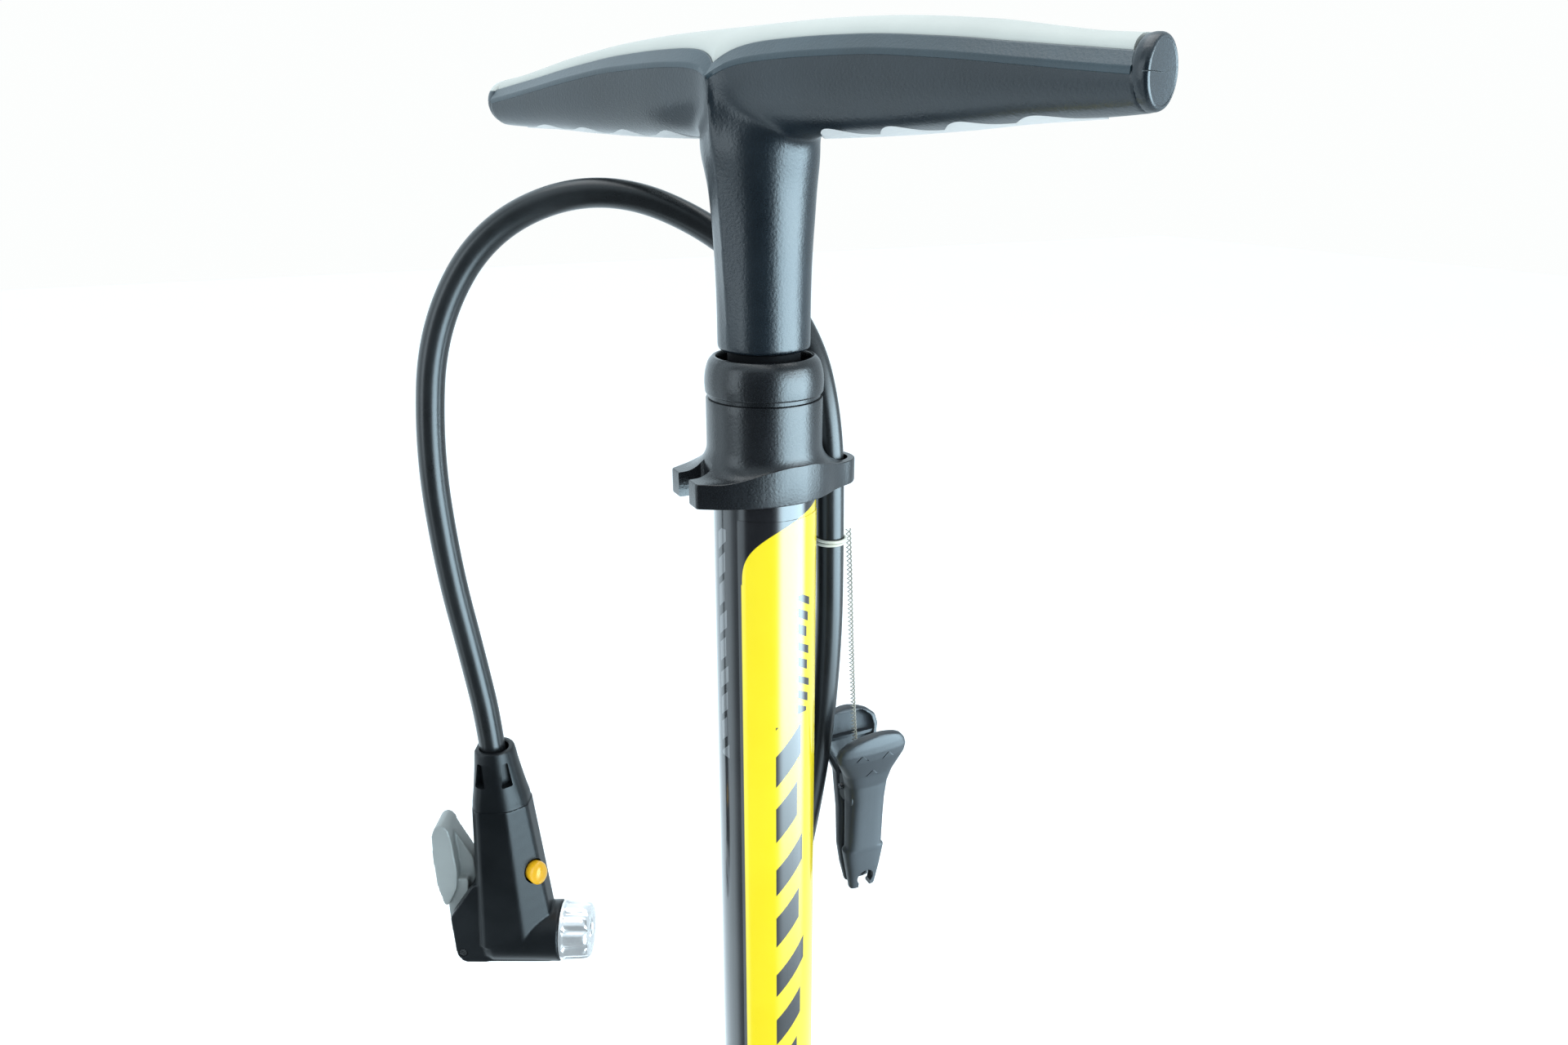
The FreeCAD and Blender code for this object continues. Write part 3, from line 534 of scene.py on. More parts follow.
# %% Plastic recipe
def moulded(name, base, rough, grain=2600, strength=0.35, drift=0.25, dust=0.04,
            depth=0.00006, wear=0.06, specular=0.5):
    """Grained plastic: noise in tone and gloss, fine bump, and pale dust specks."""
    f = Finish(name, base, rough, Specular_IOR_Level=specular)
    slow = f.noise(22, 5, 0.6)
    fine = f.noise(grain, 2, 0.5)
    dark = tuple(v * (1 - drift) for v in base)
    light = tuple(min(1, v * (1 + drift) + 0.004) for v in base)
    tone = f.mix(slow.step(0.3, 0.7), dark, light)
    worn = f.noise(90, 6, 0.7).step(0.62, 0.8) * wear
    dusty = f.specks(420, 0.05) * f.noise(15, 2).step(0.5, 0.65) * dust
    tone = f.mix(worn + dusty, tone, tuple(min(1, v + 0.35) for v in base))
    f.feed(Base_Color=tone, Roughness=slow * 0.16 + fine * 0.1 + (rough - 0.13))
    f.bump(fine + f.noise(grain / 5, 3) * 0.4, strength, depth)
    return f.material


coarse = {"grain": 1300, "depth": 0.0001, "wear": 0.02}
# The band's tone is the shell's nylon made lighter and bluer: painted light that the chamfer band catches.
HANDLE_TONE, BAND_TONE_LIT, PAD_TONE = (0.006, 0.011, 0.016), (0.018, 0.034, 0.044), (0.53, 0.535, 0.495)
nylon_black = moulded("nylon_black", (0.008, 0.009, 0.011), 0.29, strength=0.6, **coarse)
nylon_handle = moulded("nylon_handle", HANDLE_TONE, 0.3, strength=0.65, **coarse)
nylon_band_lit = moulded("nylon_band_lit", BAND_TONE_LIT, 0.32, strength=0.5, grain=1500, depth=0.0001, wear=0.03)
pad_warm = moulded("pad_warm", PAD_TONE, 0.6, drift=0.05, strength=0.25, wear=0.02)
grip_pale = moulded("grip_pale", (0.55, 0.56, 0.56), 0.6, drift=0.05, strength=0.25, wear=0.02)
rubber_hose = moulded("rubber_hose", (0.011, 0.0125, 0.014), 0.3, grain=1500, strength=0.14,
                      wear=0.05, drift=0.35)
rubber_black = moulded("rubber_black", (0.016, 0.016, 0.017), 0.55, grain=1600)
# Black rubber darkened to near-black and made nearly unreflective: painted shade for the recess round the
# stem's foot.
rubber_painted_shade = moulded("rubber_painted_shade", (0.004, 0.004, 0.005), 0.7, grain=1600, dust=0.0, wear=0.0,
                      specular=0.08)
nylon_lever = moulded("nylon_lever", (0.27, 0.29, 0.285), 0.42, drift=0.08, strength=0.25, wear=0.1)
plastic_button = moulded("plastic_button", (0.9, 0.47, 0.01), 0.3, drift=0.06, strength=0.1)
tread_rubber = moulded("tread_rubber", (0.16, 0.17, 0.18), 0.62, drift=0.15, strength=0.4, dust=0.2)
acetal_white = moulded("acetal_white", (0.72, 0.72, 0.69), 0.4, drift=0.04, strength=0.1)
head_nylon = moulded("head_nylon", (0.006, 0.0075, 0.009), 0.36, strength=0.4, grain=2200, wear=0.02,
                     specular=0.26)
clip_nylon = moulded("clip_nylon", (0.022, 0.027, 0.033), 0.44, strength=0.45, grain=2800, drift=0.15)
print("plastics:", len(bpy.data.materials))

# %% [markdown]
# ## Metals and paint
# Turned and drawn metal carries fine lines round or along its axis. Stretching noise the
# long way gives them. Chrome has no lines, only faint waviness and a few wipe marks.
# The base is sprayed: orange-peel in the gloss and dust in the corners.

# %% Metal and paint recipes
def metal(name, base, rough, lines=(1, 1, 40), strength=0.15, metallic=1.0):
    """Metal with lines: stretched noise drives both tone and gloss."""
    f = Finish(name, base, rough, Metallic=metallic)
    line = f.noise(60.0, 6, 0.7, stretch=lines)
    blotch = f.noise(35, 4)
    f.feed(Base_Color=f.mix(line.step(0.35, 0.65), tuple(v * 0.82 for v in base), base),
           Roughness=line * 0.14 + blotch * 0.12 + (rough - 0.13))
    f.bump(line, strength, 0.00005)
    return f.material


steel_ground = metal("steel_ground", (0.62, 0.63, 0.64), 0.26)
chrome_bright = metal("chrome_bright", (0.95, 0.95, 0.96), 0.16, lines=(1, 1, 1), strength=0.02,
                      metallic=0.6)
brass_turned = metal("brass_turned", (0.74, 0.53, 0.24), 0.28)


def sprayed(name, base, rough, coat):
    """Spray paint: orange-peel bump, slow gloss change, settled dust."""
    f = Finish(name, base, rough, Coat_Weight=coat, Coat_Roughness=0.12)
    peel = f.noise(420, 3, 0.5)
    slow = f.noise(14, 5)
    dust = f.noise(260, 4, 0.8).step(0.58, 0.85) * 0.12
    f.feed(Base_Color=f.mix(dust + slow.step(0.4, 0.8) * 0.06, base, (0.4, 0.4, 0.4)),
           Roughness=slow * 0.2 + (rough - 0.1))
    f.bump(peel, 0.12, 0.0001)
    return f.material


base_spray = sprayed("base_spray", (0.018, 0.019, 0.021), 0.38, 0.35)


def clear_cover():
    """The lens: a thin clear pane that is mostly see-through, with faint smears."""
    f = Finish("clear_cover", (0.96, 0.98, 0.98), 0.06, IOR=1.45)
    smear = f.noise(60, 5, 0.7).step(0.5, 0.8)
    f.feed(Alpha=smear * 0.05 + 0.13, Roughness=smear * 0.1 + 0.04)
    return f.material


lens_clear = clear_cover()

# %% [markdown]
# ## The barrel's wrap
# The tube is gloss black, and a yellow panel wraps the side that faces the user. Its top
# edge rises in a lazy S from the left side to the right. The real wrap carries lettering:
# here plain slanted bars and ticks stand in for it, so that nothing can be read.
# Two coordinates do it all: the angle round the tube and the height.

# %% Wrap recipe
def wrap_paint(name):
    """Gloss wrap: black, with a yellow panel bounded by an S curve, bars and ticks."""
    f = Finish(name, (0.01, 0.01, 0.012), 0.2, Coat_Weight=0.6, Coat_Roughness=0.07)
    x, y, z = (f.axis(i) for i in ("X", "Y", "Z"))
    round_deg = f.node("ShaderNodeMath", {"operation": "ARCTAN2"}, y, x) * (180 / math.pi)
    tall = z * 1000.0
    side = (round_deg + 142).step(-0.7, 0.7) * (1 - (round_deg + 34).step(-0.7, 0.7))
    rise = ((round_deg + 141) / 100.0).most(0.0).least(1.0)
    top_edge = rise.power(0.36) * 24.0 + 532.5
    panel = side * (1 - (tall - top_edge).step(-0.15, 0.15)) * (tall > 86.0)

    def blocks(low, high, left, right, pitch, fill, slant):
        """Bars of two kinds in turn, some cut short, like a row of plain tally marks."""
        run = (tall + (round_deg - left) * slant) / pitch
        pick = (run.whole() * 0.618).part()
        reach = right - pick * (right - left) * 0.34
        within = (tall > low) * (tall < high) * (round_deg > left) * (round_deg < reach)
        return within * (run.part() < pick * 0.2 + fill)

    large = blocks(96, 484, -104, -63, 21.0, 0.42, -0.32)
    small = blocks(487, 528, -76, -57, 5.6, 0.45, 0.16)
    grey = blocks(470, 549, -178.5, -162, 9.5, 0.55, -0.25)
    yellow = f.noise(18, 4).step(0.3, 0.7)
    yellow = f.mix(yellow, (0.93, 0.70, 0.012), (0.96, 0.76, 0.02))
    black = f.mix(f.noise(40, 4).step(0.35, 0.75), (0.009, 0.009, 0.011), (0.018, 0.018, 0.02))
    chips = f.specks(90, 0.035) * f.noise(60, 2).step(0.56, 0.6)
    ink = f.mix(panel, f.mix(grey, black, (0.16, 0.165, 0.17)),
                f.mix((large + small).least(1.0), yellow, (0.03, 0.03, 0.033)))
    ink = f.mix(chips * (1 - panel) * 0.8, ink, (0.85, 0.6, 0.05))
    scuff = f.noise(50, 6, 0.75, stretch=(1, 1, 0.12)).step(0.62, 0.78)
    f.feed(Base_Color=f.mix(scuff * 0.05, ink, (0.7, 0.7, 0.68)),
           Roughness=scuff * 0.12 + f.noise(30, 3) * 0.08 + 0.14)
    f.bump(f.noise(240, 3), 0.035, 0.0001)
    return f.material


wrap_black = wrap_paint("wrap_black")

# %% [markdown]
# ## The hose and the tie wire
# The hose leaves a brass port behind the barrel, climbs through the guide hole of the
# collar, swings over behind the stem and hangs down to the head. A smooth NURBS line
# through the same way-points gives the easy bends of real rubber hose, where straight
# runs with rounded corners would look like bent pipe.

# %% Hose line and tie wire
HOSE_WAY = [
    (0, 36, 52), (0, 36, 100), (2, 35.5, 165), (6, 32.5, 240), (12, 26.5, 318),
    (17.5, 18, 388), (23.5, 8, 450), (24.2, 1.5, 500), (23, -0.3, 540), (23, 0.9, 577),
    (20.8, 12.5, 605), (2, 31, 633), (-31, 47.5, 648.5), (-64.5, 60.5, 637),
    (-84, 66.5, 606), (-89, 68, 566), (-87, 67, 525), (-82, 64.8, 489), (-78.8, 63, 462),
    (-78.26, 62.65, 436.3),
]
WIRE_WAY = [(29.9, 0.0, 541), (30.3, -0.9, 524), (31.0, -1.1, 504), (32.4, -0.7, 482),
            (34.2, 0.5, 463), (36.2, 1.4, 448.4)]
HOSE_WIDE, WIRE_WIDE = 9.0, 1.4


def smooth_line(name, way, thick=0.0):
    """One open NURBS line through way-points in millimetres, with a round section."""
    curve = bpy.data.curves.new(name, "CURVE")
    curve.dimensions = "3D"
    spline = curve.splines.new("NURBS")
    spline.points.add(len(way) - 1)
    for point, spot in zip(spline.points, way):
        point.co = (*(v * MM for v in spot), 1.0)
    spline.order_u = 3
    spline.use_endpoint_u = True
    curve.resolution_u = 24
    curve.bevel_depth = thick * MM / 2
    curve.bevel_resolution = 8
    curve.use_fill_caps = True
    return placed(name, curve)


def even_points(way, count):
    """Points at equal steps along the thin line through a way, and the line's length."""
    line = smooth_line("thin_line", way)
    mesh = final_mesh(line)
    spots = spots_of(mesh) / MM
    bpy.data.meshes.remove(mesh)
    bpy.data.objects.remove(line)
    gaps = np.linalg.norm(np.diff(spots, axis=0), axis=1)
    far = np.concatenate([[0], np.cumsum(gaps)])
    at = np.linspace(0, far[-1], count)
    return np.stack([np.interp(at, far, spots[:, k]) for k in range(3)], -1), far[-1]


def square_to(spots):
    """Two directions square to a line that never runs level in x, at each of its points."""
    tangent = np.gradient(spots, axis=0)
    tangent /= np.linalg.norm(tangent, axis=1)[:, None]
    side = np.cross(tangent, [0.0, 1.0, 0.0])
    side /= np.linalg.norm(side, axis=1)[:, None]
    return side, np.cross(tangent, side)


_, hose_long = even_points(HOSE_WAY, 900)
hose = smooth_line("hose_rubber", HOSE_WAY, HOSE_WIDE)
print("hose length mm:", round(hose_long, 1))

TWIST_PITCH, STRAND_OFFSET, STRAND_RADIUS = 3.1, 0.70, 0.28
wire_spots, wire_long = even_points(WIRE_WAY, 460)
wire_side, wire_up = square_to(wire_spots)
twist = np.linspace(0, TAU * wire_long / TWIST_PITCH, len(wire_spots))
strand_grids = []
for start in (0.0, math.pi):
    c, s = np.cos(twist + start)[:, None], np.sin(twist + start)[:, None]
    middle = wire_spots + STRAND_OFFSET * (c * wire_side + s * wire_up)
    turn = whole_turn(8)[None, :, None]
    round_it = np.cos(turn) * wire_side[:, None] + np.sin(turn) * wire_up[:, None]
    strand_grids.append(middle[:, None] + STRAND_RADIUS * round_it)
rows, cols = strand_grids[0].shape[:2]
strand_faces = [grid_faces(rows, cols, start=k * rows * cols) for k in range(2)]
lids = [list(range(k * rows * cols, k * rows * cols + cols)) for k in range(2)]
lids += [list(range((k + 1) * rows * cols - cols, (k + 1) * rows * cols)) for k in range(2)]
tie_wire = mesh_piece("tie_wire_twist", np.vstack([g.reshape(-1, 3) for g in strand_grids]),
                      strand_faces[0] + strand_faces[1] + lids)
outward(tie_wire)
print("tie wire length mm:", round(wire_long, 1))

# %% Wire wraps
wrap_spot = Vector(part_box("tie_band")[0]).lerp(Vector(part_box("tie_band")[1]), 0.5) / MM
turn, small = whole_turn(72)[None, :, None], whole_turn(12)[:, None, None]
wrap_parts = []
for lift, tilt in ((-0.52, 0.02), (0.5, -0.03)):
    around = 4.95 + 0.46 * np.cos(small)
    ring = np.concatenate([around * np.cos(turn), around * np.sin(turn),
                           lift + 0.5 * np.sin(small) + tilt * around * np.cos(turn)], -1)
    wrap_parts.append(ring + np.array(wrap_spot))
wrap_faces = [grid_faces(12, 72, close_rows=True, start=k * 12 * 72) for k in range(2)]
tie_wrap = mesh_piece("tie_wraps", np.vstack([w.reshape(-1, 3) for w in wrap_parts]),
                      wrap_faces[0] + wrap_faces[1])
outward(tie_wrap)

# %% [markdown]
# ## The handle
# The handle is a wide T. Along the chord, its section changes from a tall rounded wedge at
# the stem to a round end. Its skin has four zones: a dark lower shell that flows into the
# stem, a chamfer band of the same nylon made a little lighter as painted light that it
# catches, a warm soft pad on top, and pale finger grips below. Each zone is a strip of the
# same section function, so the zones meet along exact lines.
# The lower shell and the stem are fused in small cells, which gives the cast-looking
# fillet between them that no simple loft has.

# %% Handle section
HANDLE_TURN = -73.0
STEM_FOOT, STEM_LIP = 602.2, 603.1
handle_place = frame_of((0, 0, 0), HANDLE_TURN)
ARM_HALF = 124.0
SWEEP = 8.0


def arm_marks(t):
    """Every height and width that the section has at a distance t along the chord."""
    a = np.abs(t)
    heights = {
        "crest": ([0, 25, 48, 80, 100, 110, 120, 126],
                  [689.7, 689.6, 688.8, 685.9, 682.9, 681.4, 680.4, 679.9]),
        "top": ([0, 20, 30, 48, 73, 95, 112, 126],
                [684.4, 684.6, 684.6, 684.2, 682.3, 679.8, 677.9, 676.3]),
        "low": ([0, 20, 30, 50, 73, 97, 113, 126],
                [680.5, 680.8, 680.9, 680.6, 678.9, 676.3, 674.5, 673.2]),
        "bottom": ([0, 26, 48, 75, 95, 115, 126], [661.0, 661.3, 661.8, 663.0, 664.3, 665.1, 665.8]),
        "front": ([0, 10, 21, 47, 77, 102, 120, 126], [17.6, 17.3, 16.6, 14.2, 11.7, 9.4, 7.8, 7.4]),
        "back": ([0, 21, 47, 77, 102, 120, 126], [15.3, 14.6, 13.0, 11.2, 9.2, 7.8, 7.4]),
        "inset": ([0, 60, 126], [3.0, 2.6, 2.2]),
    }
    marks = {name: steps_between(a, *pair) for name, pair in heights.items()}
    marks["middle"] = -SWEEP * (a / ARM_HALF) ** 1.7
    marks["nose"] = np.exp(-a / 5.5)
    return marks


def arm_edges(t, face):
    """(offset, height) of the band's lower and upper edges on the front (1) or back (-1)."""
    m = arm_marks(t)
    nose = m["nose"] * (1.0 if face > 0 else 0.0)
    wide = (m["front"] if face > 0 else m["back"]) + 2.6 * nose
    low = m["low"] - 4.0 * nose
    top = m["top"] - 4.7 * nose
    return wide, low, wide - m["inset"] + 0.6 * nose, top


def arm_points(t, offset, height):
    """Local points of the handle from chord distance, forward offset and height."""
    t, offset, height = np.broadcast_arrays(t, offset, height)
    return np.stack([t, arm_marks(t)["middle"] - offset, height], -1)


def under_curve(t, share):
    """The section's lower half. share runs 0 at the front edge, 0.5 below, 1 at the back edge.
    It is a superellipse quarter each side: offset^p + drop^p = 1."""
    m = arm_marks(t)
    turn = share * math.pi
    power = 2 / 2.25
    across = np.sign(np.cos(turn)) * np.abs(np.cos(turn)) ** power
    down = np.abs(np.sin(turn)) ** power
    front, front_low, _, _ = arm_edges(t, 1)
    back, back_low, _, _ = arm_edges(t, -1)
    wide = np.where(across > 0, front, back)
    edge = np.where(across > 0, front_low, back_low)
    return across * wide, edge + (m["bottom"] - edge) * down


# %% Lower shell and stem
t_dense = np.concatenate([-np.linspace(ARM_HALF - 0.8, 14, 90), np.linspace(-13.5, 13.5, 61),
                          np.linspace(14, ARM_HALF - 0.8, 90)])
T, SHARE = np.meshgrid(t_dense, np.linspace(0, 1, 61), indexing="ij")
offset, height = under_curve(T, SHARE)
lower_arm = grid_piece("lower_arm", arm_points(T, offset, height - 0.12))

stem_marks = [STEM_FOOT, STEM_LIP, 614, 624, 632, 640, 646, 650.5, 654.5, 658.5, 662.5, 668, 677]
stem_radii = [13.1, 13.75, 13.8, 14.0, 14.35, 14.9, 15.5, 16.2, 17.1, 17.9, 17.7, 16.0, 14.5]
rise = np.concatenate([[STEM_FOOT, 602.5], np.linspace(STEM_LIP, 676.6, 120)])
azimuth = np.linspace(-math.pi, math.pi, 180, endpoint=False)
Z, PHI = np.meshgrid(rise, azimuth, indexing="ij")
core = steps_between(Z, stem_marks, stem_radii)
narrow = steps_between(Z, [602, 640, 650, 662, 677], [1.0, 1.0, 0.95, 0.8, 0.8])
tip = steps_between(Z, [STEM_FOOT, STEM_LIP, 614.4, 623.6, 635.6, 650.2, 661.4, 675, 677],
                    [13.1, 13.95, 14.4, 15.05, 15.8, 17.35, 18.95, 20.4, 20.6])
tip = np.maximum(tip, core)
lean = np.arccos(np.clip(core / tip, -1, 1))
prow = core / np.cos(np.maximum(lean - np.abs(PHI), 0.0))
stem_x = prow * np.sin(PHI)
stem_y = -prow * np.cos(PHI) * np.where(np.cos(PHI) < 0, narrow, 1.0)
stem = grid_piece("stem", np.stack([stem_x, stem_y, Z], -1))
lower_shell = fused("handle_lower", [lower_arm, stem], 0.62)


def eased(piece, weight_of, steps):
    """Smooth a piece more where a weight function of its points says so."""
    weight = np.round(weight_of(spots_of(piece.data) / MM) * 20).astype(int)
    group = piece.vertex_groups.new(name="ease")
    for level in range(1, 21):
        chosen = np.flatnonzero(weight == level).tolist()
        if chosen:
            group.add(chosen, level / 20, "REPLACE")
    modify(piece, "SMOOTH", factor=0.5, iterations=steps, vertex_group="ease")
    apply_all(piece)
    piece.vertex_groups.clear()
    return piece


def junction(p):
    """1 where stem and arms meet, 0 on the ridge in front and by the band."""
    ridge = (np.abs(p[:, 0]) < 1.6) & (p[:, 1] < -10)
    near = (1 - fade(np.abs(p[:, 0]), 24, 36)) * fade(p[:, 2], 638, 648) * (1 - fade(p[:, 2], 671, 676))
    return np.where(ridge, 0.0, near)


lower_shell = eased(lower_shell, junction, 160)
bore = turned_piece("rod_bore", [(5.3, 600.5), (5.3, 657.0)], 48, closed=False)
lower_shell = minus(lower_shell, bore)
lower_shell.data.transform(Matrix.Rotation(math.radians(HANDLE_TURN), 4, "Z"))
print("lower shell faces:", len(lower_shell.data.polygons))

# %% [markdown]
# The band and the pad are closed strips. A strip's section is a short ring of corners at
# each distance along the chord, so the V at the middle comes from the edge functions.

# %% Chamfer band, pad and ends
def arm_strip(name, t_list, ring_of):
    """A closed strip along the chord. ring_of gives (offset, height) for each corner."""
    t = np.asarray(t_list, float)[:, None]
    ring = [np.broadcast_arrays(*pair) for pair in ring_of(t)]
    offset = np.concatenate([r[0] for r in ring], 1)
    height = np.concatenate([r[1] for r in ring], 1)
    return grid_piece(name, handle_place(arm_points(t, offset, height)))


def band_ring(t):
    """Front edge, front chamfer, step under the pad, back chamfer, back edge, flat below."""
    fw, fl, fu, ft = arm_edges(t, 1)
    bw, bl, bu, bt = arm_edges(t, -1)
    return [(fw - 0.12, fl - 1.25), (fw + 0.1, fl - 1.1), (fw + 0.12, fl + 0.1),
            (fw - 0.3, fl + 0.5), (fu + 0.35, ft - 0.32), (fu + 0.1, ft - 0.06), (fu - 0.15, ft),
            (fu - 0.9, ft + 0.02), (0.0, ft + 0.4),
            (-bu + 0.9, bt + 0.02), (-bu + 0.15, bt), (-bu - 0.1, bt - 0.06),
            (-bu - 0.35, bt - 0.32), (-bw + 0.3, bl + 0.5), (-bw - 0.12, bl + 0.1),
            (-bw - 0.1, bl - 1.1), (-bw + 0.12, bl - 1.25),
            (-bw + 1.2, bl - 1.6), (0.0, fl - 1.7), (fw - 1.2, fl - 1.6)]


def pad_ring(t):
    """The soft pad: a low crown whose sides stand up from the band, then curl under."""
    m = arm_marks(t)
    _, _, fu, ft = arm_edges(t, 1)
    _, _, bu, bt = arm_edges(t, -1)
    crown = np.linspace(0, 1, 33)[None, :] * math.pi
    across = np.sign(np.cos(crown)) * np.abs(np.cos(crown)) ** (2 / 2.1)
    up = np.abs(np.sin(crown)) ** (2 / 2.0)
    wide = np.where(across > 0, fu - 0.35, bu - 0.35)
    foot = np.where(across > 0, ft + 0.02, bt + 0.02)
    x, z = across * wide, foot + (m["crest"] - foot) * up
    return [(x, z), (-bu + 1.2, bt - 0.7), (0.0, ft - 0.3), (fu - 1.2, ft - 0.7)]


band = arm_strip("handle_band", t_dense[(np.abs(t_dense) < ARM_HALF - 0.9)], band_ring)
sharpen(band, 50)
t_pad = t_dense[np.abs(t_dense) < 121.9]
pad = arm_strip("handle_pad", t_pad, pad_ring)
sharpen(pad, 40)


END_SLOPE = math.radians(6.2)


def arm_end(side):
    """The moulded end: a rounded rim proud of the arm, and a flat disc with a parting line."""
    outline = np.array([(-4.4, 0.0), (-4.2, 6.4), (-3.4, 7.15), (-2.0, 7.4), (-0.8, 7.3),
                        (-0.2, 6.95), (0.0, 6.5), (-0.05, 6.25), (-0.2, 6.1), (-0.2, 0.0)])
    outline = rounded(outline, 0.4, 4, closed=False)
    turn = whole_turn(72)[None, :]
    along, r = outline[:, :1], outline[:, 1:] * (1.0 if side > 0 else 0.955)
    local = np.stack([side * (ARM_HALF + 0.9 + along + 0 * turn), r * np.cos(turn),
                      672.95 + r * np.sin(turn)], -1)
    centre = np.array([side * ARM_HALF, 0, 673.0])
    spin = np.array(Matrix.Rotation(side * END_SLOPE, 3, "Z"))
    local = (local - centre) @ spin.T + centre + np.array([0, -SWEEP, 0])
    piece = grid_piece(f"handle_end_{'right' if side > 0 else 'left'}", handle_place(local))
    far = side * (ARM_HALF + 2)
    slit = block("parting_slit", (far - 1.6, -20, 672.84), (far + 1.6, 10, 673.06))
    slit.data.transform(Matrix.Rotation(math.radians(HANDLE_TURN), 4, "Z"))
    minus(piece, slit)
    sharpen(piece, 40)
    return piece


ends = [arm_end(side) for side in (-1, 1)]


def finger_grip(side):
    """Pale insert below an arm: the shell's own lower curve, 0.4 mm proud, between two
    wavy borders, so that each finger's hollow shows as a crescent."""
    t = np.linspace(25.0, 113.0, 177)[:, None]
    phase = ((t - 27.0) / 21.0) % 1.0
    wave = 0.5 - 0.5 * np.cos(TAU * phase ** 0.62)
    ends_in = fade(t - 25.0, 0, 4) * fade(113.0 - t, 0, 10)
    border = 0.5 - (0.05 + 0.1 * wave) * np.sqrt(ends_in)
    across = np.linspace(0, 1, 25)[None, :]
    share = border + (1 - 2 * border) * across
    offset, height = under_curve(t + 0 * share, share)
    proud = 0.4 * np.sqrt(np.clip(np.sin(across * math.pi), 0, 1))
    turn = share * math.pi
    skin = arm_points(side * t, offset + np.cos(turn) * proud, height - np.sin(turn) * proud - 0.05)
    inner = arm_points(side * t, offset * 0.93, height + 1.3)
    ring = np.concatenate([skin, inner[:, ::-1]], 1)
    piece = grid_piece(f"grip_{'right' if side > 0 else 'left'}", handle_place(ring))
    sharpen(piece, 45)
    return piece


grips = [finger_grip(side) for side in (-1, 1)]
print("handle pieces made:", 4 + len(ends) + len(grips))

# %% [markdown]
# ## Cap, bumper and collar
# The cap screws on the barrel: a soft-shouldered ring with a recess that the stem sinks
# into. A dark line under it is the gap above the collar. The collar is a sleeve with one
# oval flange: the flange swells into a hose guide on one side and splits into a fork on the
# other. Its wall flows out of the sleeve with a hollow fillet, so the collar is made as a
# fan of profiles: at every angle the profile starts on the sleeve and ends on the outline.

# %% Cap
cap_profile = rounded(np.array([
    (15.6, 588.1), (16.95, 588.1), (16.95, 589.35), (17.35, 589.3), (17.75, 589.7),
    (17.95, 592.5), (17.7, 595.8), (16.75, 598.9),
    (15.3, 600.45), (14.45, 600.35), (14.3, 599.2), (14.3, 594.6), (6.2, 594.6), (6.2, 592.0),
    (15.6, 592.0)]), [0.1, 0.1, 0.1, 0.3, 0.3, 2, 2, 2, 0.8, 0.3, 0.5, 0.3, 0.1, 0.1, 0.1], 5)
cap = turned_piece("barrel_cap_ring", cap_profile, 128)
# The bumper's rubber is darkened to near-black as painted shade in the cap's recess.
bumper = turned_piece("rod_bumper_ring", rounded([
    (5.1, 594.9), (10.9, 594.9), (10.9, 602.0), (5.1, 602.0)], 0.8), 64)

# %% Collar
COLLAR_LOW, COLLAR_TOP, FLANGE_TOP = 558.5, 588.0, 566.2
BARREL_HOLE, BODY_R, HOLLOW = 16.05, 17.6, 7.6
outline_x = np.array([-26.6, -20.0, -11.0, -3.5, 4.0, 12.5, 19.0, 23.0, 27.4, 30.0, 30.6])
outline_y = np.array([9.8, 13.9, 17.3, 18.9, 18.7, 15.4, 10.6, 8.3, 6.4, 3.3, 0.0])
half = np.stack([outline_x, outline_y], -1)
outline = np.vstack([half, (half * [1, -1])[::-1][1:]])
outline = np.vstack([outline, [[-26.6, -8.8], [-26.6, 0.0], [-26.6, 8.8]]])
edge_line = rounded(outline, [0.5] + [4] * 19 + [0.5, 0.5, 0.5, 0.5], 5)


def reach_at(turn, line):
    """How far an outline lies from the middle at each angle, by cutting it with rays."""
    start, end = line, np.roll(line, -1, 0)
    direction = np.stack([np.cos(turn), np.sin(turn)], -1)
    side = end - start
    cross = direction[:, None, 0] * side[None, :, 1] - direction[:, None, 1] * side[None, :, 0]
    cross = np.where(np.abs(cross) < 1e-9, 1e-9, cross)
    ray = (start[None, :, 0] * side[None, :, 1] - start[None, :, 1] * side[None, :, 0]) / cross
    share = (start[None, :, 0] * direction[:, None, 1] - start[None, :, 1] * direction[:, None, 0]) / cross
    ray = np.where((share >= -1e-6) & (share <= 1 + 1e-6) & (ray > 0), ray, -1)
    return ray.max(1)


turn = np.linspace(-math.pi, math.pi, 360, endpoint=False)
reach = reach_at(turn, edge_line)
spread = np.maximum(reach - BODY_R, 0.0)
lip = np.maximum(reach, BODY_R)
full_sweep = np.arccos(np.clip(1 - (spread - 0.35) / HOLLOW, 0, 1))
lip_top = FLANGE_TOP + HOLLOW * (1 - np.sin(full_sweep))
profile = [(BARREL_HOLE, COLLAR_TOP), (BODY_R - 0.35, COLLAR_TOP), (BODY_R - 0.1, COLLAR_TOP - 0.1),
           (BODY_R, COLLAR_TOP - 0.4)]
profile += [(BODY_R, level) for level in np.linspace(COLLAR_TOP - 3, 576, 5)]
profile += [(BODY_R + HOLLOW * (1 - np.cos(k * full_sweep)),
             FLANGE_TOP + HOLLOW * (1 - np.sin(k * full_sweep))) for k in np.linspace(0, 1, 15)]
profile += [(lip - 0.3, lip_top - 0.02), (lip - 0.06, lip_top - 0.2), (lip, lip_top - 0.6),
            (lip, COLLAR_LOW + 0.6), (lip - 0.15, COLLAR_LOW + 0.15), (lip - 0.5, COLLAR_LOW),
            (BARREL_HOLE, COLLAR_LOW)]
rows = [np.stack(np.broadcast_arrays(r, z, turn)[:2], -1) for r, z in profile]
rz = np.stack(rows)
